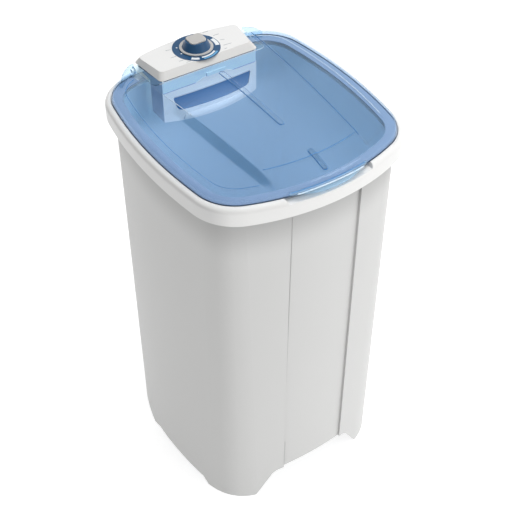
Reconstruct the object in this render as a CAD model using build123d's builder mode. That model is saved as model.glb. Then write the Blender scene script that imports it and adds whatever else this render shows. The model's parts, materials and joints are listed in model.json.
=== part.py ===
"""Single-tub semi-automatic washing machine, in millimetres.

The origin is on the floor under the middle of the machine. The front faces -Y, the
control panel stands at the back (+Y), and +Z is up. Insets are measured inwards from
the outer line of the white top frame, which most of the other outlines follow.
"""

import os
from math import asin, degrees, radians, sin

from build123d import *

os.makedirs("parts", exist_ok=True)

# Top frame, the white rim
rim_half_w = 240.5
rim_half_d = 262.5
rim_corner = 100.0
rim_bow_side = 12.0
rim_bow_front = 23.5
rim_bow_back = 13.5
rim_top = 885.0
rim_height = 36.0
rim_width = 30.0
rim_wall = 3.0
rim_strip = 12.0
rim_seat = 26.0
rim_edge_round = 10.0
rebate_depth = 2.0
cavity_below = 5.0
notch_half_w = 90.0
notch_depth = 7.0
notch_slope = 5.0
station_inset = 24.5
station_boss = 4.0

# Cabinet
base_half_w = 243.5
base_half_d = 251.0
base_corner = 112.5
base_bow_side = 21.5
base_bow_end = 15.0
cabinet_inset = 17.0
cabinet_wall = 3.0
front_step_left = -76.0
front_step_right = 83.0
front_step_depth = 5.0
arch_peak = 83.0
arch_peak_round = 800.0
arch_shoulder = 72.5
arch_half_w_top = 101.0
arch_half_w_floor = 143.0
arch_flare = (40.0, 10.0)
arch_top_round = 24.0
leg_tip_round = 14.0
side_arch_points = ((-147.0, -1.0), (-130.0, 20.0), (-28.0, 36.5), (47.0, 25.0), (87.5, -1.0))
side_arch_rounds = (0.0, 6.0, 440.0, 10.0, 0.0)
shell_lift = 0.5
tab_radius = 6.5
tab_thickness = 3.0
foot_pad_radius = 14.0
foot_pad_height = 12.0
foot_plate = 3.0
foot_plate_reach = 18.0
foot_pad_inset_x = 78.5
foot_pad_inset_y = 79.0
ledge_inset = 58.5
ledge_front = 94.0
ledge_back = 150.0
ledge_thickness = 10.0

# Wash tub
flange_inset = 5.0
flange_thickness = 3.0
tub_wall = 3.0
tub_inset_top = 36.0
tub_inset_bottom = 60.0
tub_floor = 380.0
tub_floor_round = 25.0
tub_boss_radius = 5.0
tub_boss_height = 4.0

# Lid
lid_wall = 2.5
lid_inset = 13.0
lid_gap = 0.7
lid_crest_inset = 23.0
lid_crest = 900.0
lid_shoulder_inset = 15.5
lid_shoulder_drop = 6.5
recess_inset = 41.0
recess_depth = 3.0
recess_front_inset = 97.5
centre_half_front = 101.0
centre_front_inset = 40.5
centre_half_back = 138.0
centre_back_inset = 72.5
centre_side_run = 12.0
centre_foot_inset = 29.5
centre_edge_inset = 66.5
centre_edge_z = 914.0
centre_middle_z = 918.0
centre_panel_z = 909.0
centre_end_inset = 34.5
centre_end_z = 904.0
centre_sink = 10.0
rib_width = 11.0
rib_height = 1.6
rib_front_gap = 98.0
rib_back_gap = 37.0
rib_short_insets = (27.5, 81.5)
lip_half_w = 84.0
lip_reach = 2.5
lip_thickness = 3.0
lip_lift = 1.5
cutout_half_w = 130.0
cutout_gap = 3.5
cutout_round = 12.0
hinge_inset = 26.5
hinge_z = 898.0
hinge_pin_radius = 4.0
hinge_pin_head = 6.5
hinge_pin_cap = 3.0
hinge_fit = 0.05
hinge_side_gap = 1.0
hinge_ear = 4.0
hinge_ear_radius = 8.0

# Control panel and its housing
panel_overhang = 2.5
panel_depth = 110.0
panel_bow = 16.0
panel_front_half_w = 112.5
panel_back_half_w = 121.5
panel_bottom = 908.0
panel_top = 920.0
bevel_front = 13.0
bevel_back = 8.0
plateau_bow = 15.0
plateau_front_half_w = 104.0
plateau_back_half_w = 115.0
panel_corner = 10.0
panel_rim = 5.0
panel_wall = 2.5
panel_boss = 4.5
housing_half_w = 110.0
housing_front_gap = 2.0
housing_back_inset = 16.5
housing_low_back_inset = 56.5
housing_seam = 878.0
housing_bottom = 811.0
housing_wall = 2.5
housing_corner = 4.0
housing_bow = 22.0
seam_bow = 0.01
housing_boss = 5.0
housing_boss_height = 12.0
mount_boss_x = 60.0
mount_boss_inset = 22.5
panel_screw_x = 97.0
panel_screw_front = 17.0
panel_screw_back = 59.0
panel_screw_length = 14.0
catch_half_w = 22.0
catch_x = 13.0
catch_low = 885.0
catch_high = 892.0
catch_reach = 2.5
dial_radius = 49.0
dial_bore = 8.0
dial_thickness = 0.5
knob_from_front = 54.0
knob_skirt_radius = 34.5
knob_skirt_height = 2.0
knob_base_radius = 29.0
knob_waist_radius = 22.0
knob_cap_level = 938.5
knob_cap_size = (36.0, 33.0)
knob_cap_round = 9.0
knob_cap_height = 2.5
knob_gap = 0.6
timer_size = 48.0
timer_height = 28.0
timer_corner = 5.0
timer_shaft_radius = 3.0
timer_shaft_bottom = 893.0

# Lint filter drawer
window_top = 862.0
window_bottom = 832.0
window_half_top = 91.5
window_half_bottom = 83.5
window_x = 3.5
window_round = 10.0
drawer_gap = 0.8
drawer_face = 2.0
drawer_recess = 1.0
drawer_half_w = 60.0
drawer_back_gap = 6.0
drawer_wall = 1.8
grate_slot = 4.0
grate_length = 30.0
grate_pitch = 20.0
grate_count = 9
mesh_thickness = 0.8
mesh_edge_gap = 0.5
mesh_pitch = 8.0
mesh_hole = 5.0
mesh_columns = 13
mesh_rows = 3
runner_x = 48.0
runner_width = 5.0

# Drive: agitator, bearing, pulleys, belt, motor
shaft_radius = 8.0
shaft_fit = 0.05
shaft_bottom = 256.0
agitator_radius = 150.0
agitator_lift = 16.0
agitator_plate = 5.0
agitator_rim = 9.0
agitator_hub_radius = 36.0
agitator_hub_top_radius = 24.0
agitator_hub_top = 436.0
vane_count = 4
vane_width = 10.0
vane_height = 26.0
vane_reach = 138.0
cap_radius = 14.0
cap_screw_length = 16.0
cap_height = 4.0
neck_radius = 22.0
neck_rise = 9.0
neck_hole_gap = 0.4
bearing_flange_radius = 52.0
bearing_flange = 8.0
bearing_bolt_circle = 40.0
bearing_bolt_count = 6
barrel_radius = 20.0
barrel_bottom = 298.0
barrel_bore_gap = 2.0
bush_wall = 6.0
bush_length = 18.0
bush_inset = 6.0
seal_gap = 0.4
belt_level = 272.0
belt_width = 10.0
belt_height = 6.0
belt_gap = 0.5
pulley_pitch_radius = 100.0
pulley_flange = 2.5
pulley_lip = 1.5
pulley_rim = 6.0
pulley_web = 4.0
pulley_hub_radius = 18.0
pulley_hole_circle = 57.0
pulley_hole_radius = 19.0
pulley_hole_count = 6
nut_radius = 14.0
nut_height = 6.0
motor_pitch_radius = 22.0
motor_y = 150.0
motor_radius = 62.0
motor_bottom = 124.0
motor_height = 106.0
motor_split = 176.0
motor_wall = 2.5
motor_shaft_radius = 6.0
motor_shaft_bottom = 106.0
motor_shaft_end = 2.0
motor_air_gap = 0.6
rotor_radius = 30.0
stack_low = 146.0
stack_high = 206.0
coil_outer_radius = 52.0
coil_inner_radius = 36.0
coil_height = 8.0
motor_bearing_radius = 13.0
motor_bearing_height = 9.0
fan_radius = 46.0
fan_hub_radius = 12.0
fan_gap = 4.0
fan_height = 10.0
fan_disc = 2.0
fan_blade = 2.5
fan_blades = 8
ear_circle = 68.0
ear_radius = 9.0
ear_thickness = 4.0
grommet_radius = 8.0
grommet_height = 6.0
bolt_radius = 3.0
beam_plate = 4.0
beam_depth = 124.0
beam_flange = 14.0
beam_end_gap = 4.0
beam_shaft_hole = 16.0
beam_screw_inset = 46.5
beam_screw_ys = (106.0, 138.0)
capacitor_x = -120.0
capacitor_radius = 19.0
capacitor_height = 70.0
clip_thickness = 1.5
clip_height = 14.0
clip_foot = 12.0
terminal_x = 120.0
terminal_size = (60.0, 40.0, 28.0)
terminal_round = 3.0

# Back of the machine
service_half_w = 92.0
service_bottom = 130.0
service_top = 400.0
cover_lap = 12.0
cover_thickness = 2.0
cover_gap = 0.05
vent_width = 70.0
vent_height = 4.0
vent_pitch = 14.0
vent_count = 8
vent_level = 150.0
inlet_z = 826.0
inlet_radius = 13.2
inlet_barrel_radius = 12.8
inlet_bore = 10.0
inlet_end_inset = 2.5
inlet_start_inset = 48.5
inlet_flange_radius = 17.0
inlet_flange = 3.0
inlet_nut_radius = 17.0
inlet_nut_height = 6.0
inlet_nut_gap = 0.4
pipe_fit = 0.3
drain_x = 120.0
drain_inset = 122.5
drain_radius = 16.0
drain_bore = 13.0
drain_bend = 34.0
drain_level = 316.0
drain_tail_radius = 15.5
drain_tail = 18.0
drain_end_inset = 0.5
drain_collar_radius = 25.0
drain_collar = 4.0
grille_radius = 20.0
grille_thickness = 2.0
grille_hole = 2.5
grille_circle = 8.5
grille_count = 6
gland_x = -130.0
gland_z = 165.0
gland_radius = 9.0
gland_bore = 4.0
gland_collar_radius = 12.0
gland_collar = 5.0
gland_length = 22.0
gland_seat_gap = 0.8

# Fasteners
screw_radius = 2.1
screw_head_radius = 4.2
screw_head = 2.6
thread_gap = 0.1
bolt_head_radius = 6.0
bolt_head = 4.0
screw_tip_gap = 0.5
screw_bite = 3.0
mount_tip_gap = 4.0
cut_past = 1.0

# Levels and places that follow from the sizes above
rim_bottom = rim_top - rim_height
rebate_floor = rim_top - rebate_depth
cavity_top = rim_top - cavity_below
flange_top = rim_bottom + rim_seat
cabinet_top = flange_top - flange_thickness
lid_base = rebate_floor + lid_gap
notch_floor = rim_top - notch_depth
tub_under = tub_floor - tub_wall
beam_level = motor_bottom + motor_height + grommet_height
beam_top = beam_level + beam_plate
dial_top = panel_top + dial_thickness
knob_bottom = dial_top + knob_gap
knob_seat = knob_bottom + knob_skirt_height
foot_pad_x = base_half_w - foot_pad_inset_x
foot_pad_y = base_half_d - foot_pad_inset_y
ledge_half_gap = base_half_w - ledge_inset
beam_screw_x = base_half_w - beam_screw_inset
panel_back_y = rim_half_d + panel_overhang
panel_corner_y = panel_back_y - panel_bow
panel_front_y = panel_back_y - panel_depth
plateau_front_y = panel_front_y + bevel_front
plateau_back_y = panel_back_y - bevel_back
plateau_corner_y = plateau_back_y - plateau_bow
housing_front_y = panel_front_y + housing_front_gap
housing_back_y = rim_half_d - housing_back_inset
housing_low_back_y = rim_half_d - housing_low_back_inset
mount_boss_y = rim_half_d - mount_boss_inset
knob_y = panel_front_y + knob_from_front
drawer_back_y = housing_low_back_y - drawer_back_gap
hinge_y = rim_half_d - hinge_inset
recess_front_y = recess_front_inset - rim_half_d
centre_front_y = centre_front_inset - rim_half_d
centre_back_y = rim_half_d - centre_back_inset
centre_foot_y = centre_foot_inset - rim_half_d
centre_edge_y = centre_edge_inset - rim_half_d
centre_end_y = rim_half_d - centre_end_inset
centre_middle_y = (centre_edge_y + panel_front_y) / 2
rib_long = (centre_edge_y + rib_front_gap, panel_front_y - rib_back_gap)
rib_short = (rib_short_insets[0] - rim_half_d, rib_short_insets[1] - rim_half_d)
inlet_end = rim_half_d - inlet_end_inset
inlet_start = rim_half_d - inlet_start_inset
drain_y = rim_half_d - drain_inset
drain_end = rim_half_d - drain_end_inset
far = 2 * rim_half_d


def save(builder, name):
    """Labels a finished piece and writes its STEP file."""
    builder.part.label = name
    export_step(builder.part, f"parts/{name}.step")


def bow_arc(chord, sagitta):
    """Radius and half angle of an arc with this chord and height."""
    radius = (chord**2 / 4 + sagitta**2) / (2 * sagitta)
    return radius, degrees(asin(chord / 2 / radius))


def bowed_line(half_w, half_d, corner, bow_side, bow_front, bow_back):
    """Draws four gently bowed sides joined by round corners, all tangent."""
    core_x = half_w - corner - bow_side
    front = corner + bow_front - half_d
    back = half_d - corner - bow_back
    middle = (front + back) / 2
    side_r, side_a = bow_arc(back - front, bow_side)
    front_r, front_a = bow_arc(2 * core_x, bow_front)
    back_r, back_a = bow_arc(2 * core_x, bow_back)
    side_x = core_x + bow_side - side_r
    CenterArc((side_x, middle), side_r + corner, -side_a, 2 * side_a)
    CenterArc((core_x, back), corner, side_a, 90 - back_a - side_a)
    CenterArc((0, back + bow_back - back_r), back_r + corner, 90 - back_a, 2 * back_a)
    CenterArc((-core_x, back), corner, 90 + back_a, 90 - back_a - side_a)
    CenterArc((-side_x, middle), side_r + corner, 180 - side_a, 2 * side_a)
    CenterArc((-core_x, front), corner, 180 + side_a, 90 - side_a - front_a)
    CenterArc((0, front - bow_front + front_r), front_r + corner, 270 - front_a, 2 * front_a)
    CenterArc((core_x, front), corner, 270 + front_a, 90 - front_a - side_a)


def rim_sketch(inset, level):
    """The frame's outline, moved inwards by inset, as a face at a height."""
    with BuildSketch(Plane.XY.offset(level)) as sketch:
        with BuildLine():
            bowed_line(rim_half_w - inset, rim_half_d - inset, rim_corner - inset,
                       rim_bow_side, rim_bow_front, rim_bow_back)
        make_face()
    return sketch.sketch


def base_sketch(inset):
    """The cabinet's outline at the floor, moved inwards by inset."""
    with BuildSketch() as sketch:
        with BuildLine():
            bowed_line(base_half_w - inset, base_half_d - inset, base_corner - inset,
                       base_bow_side, base_bow_end, base_bow_end)
        make_face()
    return sketch.sketch


def cabinet_solid(inset):
    """The tapered body of the cabinet as a solid, moved inwards by inset."""
    with BuildPart() as body:
        loft([base_sketch(inset), rim_sketch(cabinet_inset + inset, cabinet_top)], ruled=True)
    return body.part


def rim_stack(levels):
    """A solid through frame outlines, given as (inset, level) pairs from the bottom up."""
    with BuildPart() as stack:
        loft([rim_sketch(inset, level) for inset, level in levels], ruled=True)
    return stack.part


def rim_stations():
    """Places round the frame: the middle of each corner, of each side and of the back."""
    core_x = rim_half_w - rim_corner - rim_bow_side
    front = rim_corner + rim_bow_front - rim_half_d
    back = rim_half_d - rim_corner - rim_bow_back
    reach = (rim_corner - station_inset) * sin(radians(45))
    corners = [(side * (core_x + reach), y) for side in (-1, 1) for y in (front - reach, back + reach)]
    sides = [(side * (rim_half_w - station_inset), (front + back) / 2) for side in (-1, 1)]
    return corners + sides + [(0, rim_half_d - station_inset)]


def block(x, y, z, mode=Mode.ADD):
    """A box between two corners, each axis given as (low, high)."""
    centre = tuple((low + high) / 2 for low, high in (x, y, z))
    with Locations(centre):
        Box(x[1] - x[0], y[1] - y[0], z[1] - z[0], mode=mode)


def upright(radius, low, high, places=((0, 0),), mode=Mode.ADD):
    """Round bars or holes between two heights, at one or more places."""
    middle = (low + high) / 2
    with Locations(*[(x, y, middle) for x, y in places]):
        Cylinder(radius, high - low, mode=mode)


def back_plane(solid, x, z):
    """A plane on a solid's back, facing out, at a given x and z."""
    ray = Axis((x, 0, z), (0, 1, 0))
    hits = [hit for face in solid.faces() for hit in face.find_intersection_points(ray)]
    point, normal = max(hits, key=lambda hit: hit[0].Y)
    return Plane(origin=point, z_dir=normal if normal.Y > 0 else -normal)


def screw_set(planes, length, radius=screw_radius, head=(screw_head_radius, screw_head)):
    """Screws whose heads stand on planes and whose shanks go in, as separate solids."""
    with BuildPart() as screws:
        for plane in planes:
            with BuildSketch(plane):
                Circle(head[0])
            extrude(amount=head[1])
            with BuildSketch(plane):
                Circle(radius)
            extrude(amount=-length)
    return screws


def screw_room(planes, length, radius=screw_radius + thread_gap):
    """Holes for the shanks of screws on planes, open at the heads."""
    with BuildPart() as room:
        for plane in planes:
            with BuildSketch(plane.offset(screw_head)):
                Circle(radius)
            extrude(amount=-length - screw_head)
    return room.part


def facing_down(places, level):
    """Planes at one height that face down."""
    return [Plane((x, y, level), z_dir=(0, 0, -1)) for x, y in places]


def facing_up(places, level):
    """Planes at one height that face up."""
    return [Plane((x, y, level)) for x, y in places]


# Screw places that two or more pieces share
stations = rim_stations()
frame_planes = facing_down(stations, cabinet_top - tab_thickness)
frame_screw_length = cavity_top - cabinet_top + tab_thickness - screw_tip_gap
mount_places = [(side * mount_boss_x, mount_boss_y) for side in (-1, 1)]
mount_planes = facing_down(mount_places, cavity_top)
mount_screw_length = cavity_below + housing_boss_height - mount_tip_gap
panel_front_places = [(side * panel_screw_x, panel_front_y + panel_screw_front) for side in (-1, 1)]
panel_back_places = [(side * panel_screw_x, panel_front_y + panel_screw_back) for side in (-1, 1)]
panel_planes = facing_down(panel_front_places, housing_seam) + facing_down(panel_back_places, rim_top)
beam_places = [(side * beam_screw_x, y) for side in (-1, 1) for y in beam_screw_ys]
beam_planes = facing_up(beam_places, beam_top)
beam_screw_length = beam_plate + ledge_thickness - screw_tip_gap

# Outer and inner bodies of the cabinet, used by what fits in it or on it
cabinet_outer = cabinet_solid(0)
cabinet_inner = cabinet_solid(cabinet_wall)
inlet_seat = max(back_plane(cabinet_outer, 0, inlet_z + side * inlet_flange_radius).origin.Y
                 for side in (-1, 1))
inlet_inner = min(back_plane(cabinet_inner, 0, inlet_z + side * inlet_nut_radius).origin.Y
                  for side in (-1, 1))
cover_outer = cabinet_solid(-cover_gap - cover_thickness)
cover_half = service_half_w + cover_lap
cover_levels = (service_bottom - cover_lap / 2, (service_bottom + service_top) / 2,
                service_top + cover_lap / 2)
cover_planes = [back_plane(cover_outer, side * (cover_half - cover_lap / 2), level)
                for side in (-1, 1) for level in cover_levels]
cover_screw_length = cover_thickness + cover_gap + cabinet_wall + screw_bite
gland_plane = back_plane(cabinet_outer, gland_x, gland_z)


# Cabinet: tapered shell on four corner legs, with a stepped-back front panel
def step_band(grow, inset):
    """The solid in front of the stepped-back panel, in the middle of the front."""
    with BuildPart() as band:
        block((front_step_left - grow, front_step_right + grow), (-far, 0),
              (-cut_past, cabinet_top + cut_past))
        add(cabinet_solid(inset), mode=Mode.SUBTRACT)
    return band.part


def arch_sketch():
    """Opening between two legs, with a slanted side at each leg and a crowned top."""
    flare = arch_half_w_floor + arch_flare[0]
    points = [(-flare, -arch_flare[1]), (-arch_half_w_floor, shell_lift),
              (-arch_half_w_top, arch_shoulder), (0, arch_peak), (arch_half_w_top, arch_shoulder),
              (arch_half_w_floor, shell_lift), (flare, -arch_flare[1])]
    rounds = [0, leg_tip_round, arch_top_round, arch_peak_round, arch_top_round, leg_tip_round, 0]
    with BuildSketch(Plane.XZ) as sketch:
        with BuildLine():
            FilletPolyline(*points, close=True, radius=rounds)
        make_face()
    return sketch.sketch


def side_arch_sketch():
    """The low opening under each side wall, between its two legs."""
    with BuildSketch(Plane.YZ) as sketch:
        with BuildLine():
            FilletPolyline(*side_arch_points, close=True, radius=side_arch_rounds)
        make_face()
    return sketch.sketch


with BuildPart() as cabinet_room:
    add(cabinet_inner)
    add(step_band(cabinet_wall, front_step_depth + cabinet_wall), mode=Mode.SUBTRACT)

with BuildPart() as foot_plates:
    for side_x in (-1, 1):
        for side_y in (-1, 1):
            span_x = sorted((side_x * (foot_pad_x - foot_plate_reach), side_x * far))
            span_y = sorted((side_y * (foot_pad_y - foot_plate_reach), side_y * far))
            block(span_x, span_y, (foot_pad_height, foot_pad_height + foot_plate))
    add(cabinet_outer, mode=Mode.INTERSECT)

with BuildPart() as ledges:
    for side in (-1, 1):
        block(sorted((side * ledge_half_gap, side * far)), (ledge_front, ledge_back),
              (beam_level - ledge_thickness, beam_level))
    add(cabinet_outer, mode=Mode.INTERSECT)

with BuildPart() as cabinet:
    add(cabinet_outer)
    add(step_band(0, front_step_depth), mode=Mode.SUBTRACT)
    add(cabinet_room.part, mode=Mode.SUBTRACT)
    extrude(arch_sketch(), amount=far, both=True, mode=Mode.SUBTRACT)
    extrude(side_arch_sketch(), amount=far, both=True, mode=Mode.SUBTRACT)
    block((-far, far), (-far, far), (-cut_past, shell_lift), mode=Mode.SUBTRACT)
    block((-service_half_w, service_half_w), (0, far), (service_bottom, service_top), mode=Mode.SUBTRACT)
    add(foot_plates.part)
    add(ledges.part)
    upright(tab_radius, cabinet_top - tab_thickness, cabinet_top, stations)
    add(screw_room(frame_planes, frame_screw_length), mode=Mode.SUBTRACT)
    add(screw_room(beam_planes, beam_screw_length), mode=Mode.SUBTRACT)
    add(screw_room(cover_planes, cover_screw_length), mode=Mode.SUBTRACT)
    with BuildSketch(Plane.XZ.offset(-far)):
        with Locations((0, inlet_z)):
            Circle(inlet_barrel_radius + pipe_fit)
        with Locations((drain_x, drain_level)):
            Circle(drain_radius + pipe_fit)
    extrude(amount=far - drain_y, mode=Mode.SUBTRACT)
    with BuildSketch(gland_plane):
        Circle(gland_radius + pipe_fit)
    extrude(amount=2 * gland_length, both=True, mode=Mode.SUBTRACT)
save(cabinet, "cabinet")

with BuildPart() as foot_pads:
    upright(foot_pad_radius, 0, foot_pad_height,
            [(x * foot_pad_x, y * foot_pad_y) for x in (-1, 1) for y in (-1, 1)])
save(foot_pads, "foot_pads")

# Rear cover: a curved plate that follows the back, over the service opening
with BuildPart() as rear_cover:
    block((-cover_half, cover_half), (0, far), (service_bottom - cover_lap, service_top + cover_lap))
    add(cover_outer, mode=Mode.INTERSECT)
    add(cabinet_solid(-cover_gap), mode=Mode.SUBTRACT)
    for row in range(vent_count):
        level = vent_level + row * vent_pitch
        block((-vent_width / 2, vent_width / 2), (0, far), (level, level + vent_height), mode=Mode.SUBTRACT)
    add(screw_room(cover_planes, cover_screw_length), mode=Mode.SUBTRACT)
save(rear_cover, "rear_cover")
save(screw_set(cover_planes, cover_screw_length), "rear_cover_screws")


# Top frame: the white rim, hollow below, with a rebate for the lid and a finger notch
def notch_block(grow, low, high):
    """A slant-ended prism across the front of the frame."""
    half = notch_half_w + grow
    points = [(-half, low), (-half - notch_slope, high), (half + notch_slope, high), (half, low)]
    with BuildPart() as prism:
        with BuildSketch(Plane.XZ):
            with BuildLine():
                Polyline(*points, close=True)
            make_face()
        extrude(amount=far)
    return prism.part


with BuildPart() as frame_cavity:
    extrude(rim_sketch(rim_wall, rim_bottom), amount=cavity_top - rim_bottom)
    fillet(frame_cavity.edges().group_by(Axis.Z)[-1], rim_edge_round - rim_wall)
    add(extrude(rim_sketch(rim_width - rim_wall, rim_bottom), amount=rim_height, mode=Mode.PRIVATE),
        mode=Mode.SUBTRACT)
    add(notch_block(rim_wall, notch_floor - rim_wall, rim_top), mode=Mode.SUBTRACT)
    upright(station_boss, flange_top, rim_top, stations, mode=Mode.SUBTRACT)

with BuildPart() as top_frame:
    extrude(rim_sketch(0, rim_bottom), amount=rim_height)
    fillet(top_frame.edges().group_by(Axis.Z)[-1], rim_edge_round)
    extrude(rim_sketch(rim_strip, rebate_floor), amount=rebate_depth, mode=Mode.SUBTRACT)
    extrude(rim_sketch(rim_width, rim_bottom), amount=rim_height, mode=Mode.SUBTRACT)
    extrude(rim_sketch(rim_width - rim_wall, rim_bottom), amount=flange_top - rim_bottom, mode=Mode.SUBTRACT)
    add(frame_cavity.part, mode=Mode.SUBTRACT)
    add(notch_block(0, notch_floor, rim_top + cut_past), mode=Mode.SUBTRACT)
    add(screw_room(frame_planes, frame_screw_length), mode=Mode.SUBTRACT)
    add(screw_room(mount_planes, mount_screw_length), mode=Mode.SUBTRACT)
save(top_frame, "top_frame")
save(screw_set(frame_planes, frame_screw_length), "frame_screws")

# Wash tub: drafted walls, rounded floor, and a flange that hangs it on the cabinet
bearing_places = [(loc.position.X, loc.position.Y)
                  for loc in PolarLocations(bearing_bolt_circle, bearing_bolt_count)]
bearing_planes = facing_down(bearing_places, tub_under - bearing_flange)
bearing_screw_length = bearing_flange + tub_wall + screw_bite

with BuildPart() as tub_room:
    loft([rim_sketch(tub_inset_bottom, tub_floor),
          rim_sketch(tub_inset_top, flange_top + cut_past)], ruled=True)
    fillet(tub_room.edges().group_by(Axis.Z)[0], tub_floor_round)

with BuildPart() as wash_tub:
    loft([rim_sketch(tub_inset_bottom - tub_wall, tub_under),
          rim_sketch(tub_inset_top - tub_wall, flange_top)], ruled=True)
    fillet(wash_tub.edges().group_by(Axis.Z)[0], tub_floor_round + tub_wall)
    extrude(rim_sketch(flange_inset, cabinet_top), amount=flange_thickness)
    add(tub_room.part, mode=Mode.SUBTRACT)
    upright(tub_boss_radius, tub_floor - tub_wall / 2, tub_floor + tub_boss_height, bearing_places)
    upright(neck_radius + neck_hole_gap, tub_under - cut_past, tub_floor + cut_past, mode=Mode.SUBTRACT)
    upright(drain_radius + pipe_fit, tub_under - cut_past, tub_floor + cut_past, [(drain_x, drain_y)],
            mode=Mode.SUBTRACT)
    add(screw_room(bearing_planes, bearing_screw_length), mode=Mode.SUBTRACT)
    add(screw_room(frame_planes, frame_screw_length), mode=Mode.SUBTRACT)
    with BuildSketch(Plane.XZ.offset(-far)):
        with Locations((0, inlet_z)):
            Circle(inlet_barrel_radius + pipe_fit)
    extrude(amount=far - housing_low_back_y, mode=Mode.SUBTRACT)
save(wash_tub, "wash_tub")

# Lid: a clear shell with a low shoulder, a raised middle and a cut round the panel
centre_slope = (centre_half_back - centre_half_front) / (centre_back_y - centre_front_y)


def centre_half(y):
    """Half width of the raised middle's top at a place along it."""
    return centre_half_front + (y - centre_front_y) * centre_slope


def centre_profile(drop, raise_by=0.0):
    """Side view of the raised middle, as a prism across the machine."""
    low = lid_crest - recess_depth - centre_sink
    points = [(centre_foot_y + drop, low), (centre_foot_y + drop, lid_crest - drop + raise_by),
              (centre_edge_y + drop / 2, centre_edge_z - drop + raise_by),
              (centre_middle_y, centre_middle_z - drop + raise_by),
              (panel_front_y, centre_panel_z - drop + raise_by),
              (centre_end_y - drop, centre_end_z - drop + raise_by), (centre_end_y - drop, low)]
    with BuildPart() as prism:
        with BuildSketch(Plane.YZ):
            with BuildLine():
                Polyline(points[0], points[1], points[2])
                ThreePointArc(points[2], points[3], points[4])
                Polyline(points[4], points[5], points[6], points[0])
            make_face()
        extrude(amount=far, both=True)
    return prism.part


def centre_plan(level, grow):
    """Plan of the raised middle at a height, widening downwards."""
    widen = centre_side_run * (centre_middle_z - level) / (centre_middle_z - lid_crest + recess_depth)
    ends = (-rim_half_d, rim_half_d)
    halves = [centre_half(y) + widen + grow for y in ends]
    points = [(-halves[0], ends[0]), (halves[0], ends[0]), (halves[1], ends[1]), (-halves[1], ends[1])]
    with BuildSketch(Plane.XY.offset(level)) as sketch:
        with BuildLine():
            Polyline(*points, close=True)
        make_face()
    return sketch.sketch


def lid_centre(drop):
    """The raised middle as a solid, its skin moved inwards by drop."""
    with BuildPart() as middle:
        loft([centre_plan(lid_base, -drop), centre_plan(centre_middle_z + cut_past, -drop)], ruled=True)
        add(centre_profile(drop), mode=Mode.INTERSECT)
    return middle.part


def lid_recesses(drop):
    """The two hollows between the raised middle and the shoulder."""
    with BuildPart() as hollows:
        extrude(rim_sketch(recess_inset - drop, lid_crest - recess_depth - drop), amount=far)
        block((-far, far), (-far, recess_front_y - drop), (0, 2 * rim_top), mode=Mode.SUBTRACT)
        add(loft([centre_plan(lid_base, -drop), centre_plan(2 * centre_middle_z - lid_base, -drop)],
                 ruled=True, mode=Mode.PRIVATE), mode=Mode.SUBTRACT)
    return hollows.part


def lid_body(drop):
    """The whole lid as a solid, its skin moved inwards by drop."""
    base = lid_base - drop
    shoulder = lid_crest - lid_shoulder_drop - drop / 2
    levels = [(lid_inset + drop, base), (lid_shoulder_inset + drop, shoulder),
              (lid_crest_inset + drop / 2, lid_crest - drop)]
    with BuildPart() as body:
        add(rim_stack(levels))
        add(lid_recesses(drop), mode=Mode.SUBTRACT)
        add(lid_centre(drop))
    return body.part


def rib_solid(span):
    """A long raised bead on the middle line."""
    length = span[1] - span[0]
    with BuildPart() as bead:
        with BuildSketch(Plane.XY.offset(lid_base)):
            with Locations((0, sum(span) / 2)):
                SlotOverall(length, rib_width, rotation=90)
        extrude(amount=far)
        add(centre_profile(0, rib_height), mode=Mode.INTERSECT)
        add(centre_profile(lid_wall / 2), mode=Mode.SUBTRACT)
    return bead.part


def lip_solid():
    """The finger lip that reaches over the notch in the frame."""
    level = rim_top + lip_lift
    with BuildPart() as lip:
        extrude(rim_sketch(-lip_reach, level), amount=lip_thickness)
        extrude(rim_sketch(lid_shoulder_inset + lid_wall / 2, level), amount=lip_thickness,
                mode=Mode.SUBTRACT)
        block((-lip_half_w, lip_half_w), (-far, 0), (level, level + lip_thickness), mode=Mode.INTERSECT)
    return lip.part


def hinge_bars(radius, start, end, mode=Mode.ADD):
    """Round bars or holes on the hinge axis, one on each side."""
    with Locations(*[((start + end) / 2 * side, hinge_y, hinge_z) for side in (-1, 1)]):
        Cylinder(radius, end - start, rotation=(0, 90, 0), mode=mode)


with BuildPart() as lid_cutout:
    with BuildSketch():
        with BuildLine():
            front = panel_front_y - cutout_gap
            FilletPolyline((-cutout_half_w, far), (-cutout_half_w, front), (cutout_half_w, front),
                           (cutout_half_w, far), radius=cutout_round)
            Line((cutout_half_w, far), (-cutout_half_w, far))
        make_face()
    extrude(amount=far * 2)

with BuildPart() as lid:
    add(lid_body(0))
    add(rib_solid(rib_long))
    add(rib_solid(rib_short))
    add(lid_body(lid_wall), mode=Mode.SUBTRACT)
    add(lip_solid())
    add(lid_cutout.part, mode=Mode.SUBTRACT)
    hinge_bars(hinge_ear_radius, cutout_half_w, cutout_half_w + hinge_ear)
    hinge_bars(hinge_pin_radius + hinge_fit, cutout_half_w - cut_past, cutout_half_w + hinge_ear + cut_past,
               mode=Mode.SUBTRACT)
save(lid, "lid")


# Control housing: the upper box that carries the panel, the timer and the hinge pins
def housing_shape(inset):
    """The upper housing as a solid, moved inwards by inset, with a step over the frame."""
    half = housing_half_w - inset
    front = housing_front_y + inset
    with BuildPart() as shape:
        block((-half, half), (front, housing_low_back_y - inset), (housing_seam + inset, panel_bottom))
        block((-half, half), (front, housing_back_y - inset), (rim_top + inset, panel_bottom))
        fillet(shape.edges().filter_by(Axis.Z).sort_by(Axis.Y)[:2], housing_corner - inset)
    return shape.part


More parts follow.
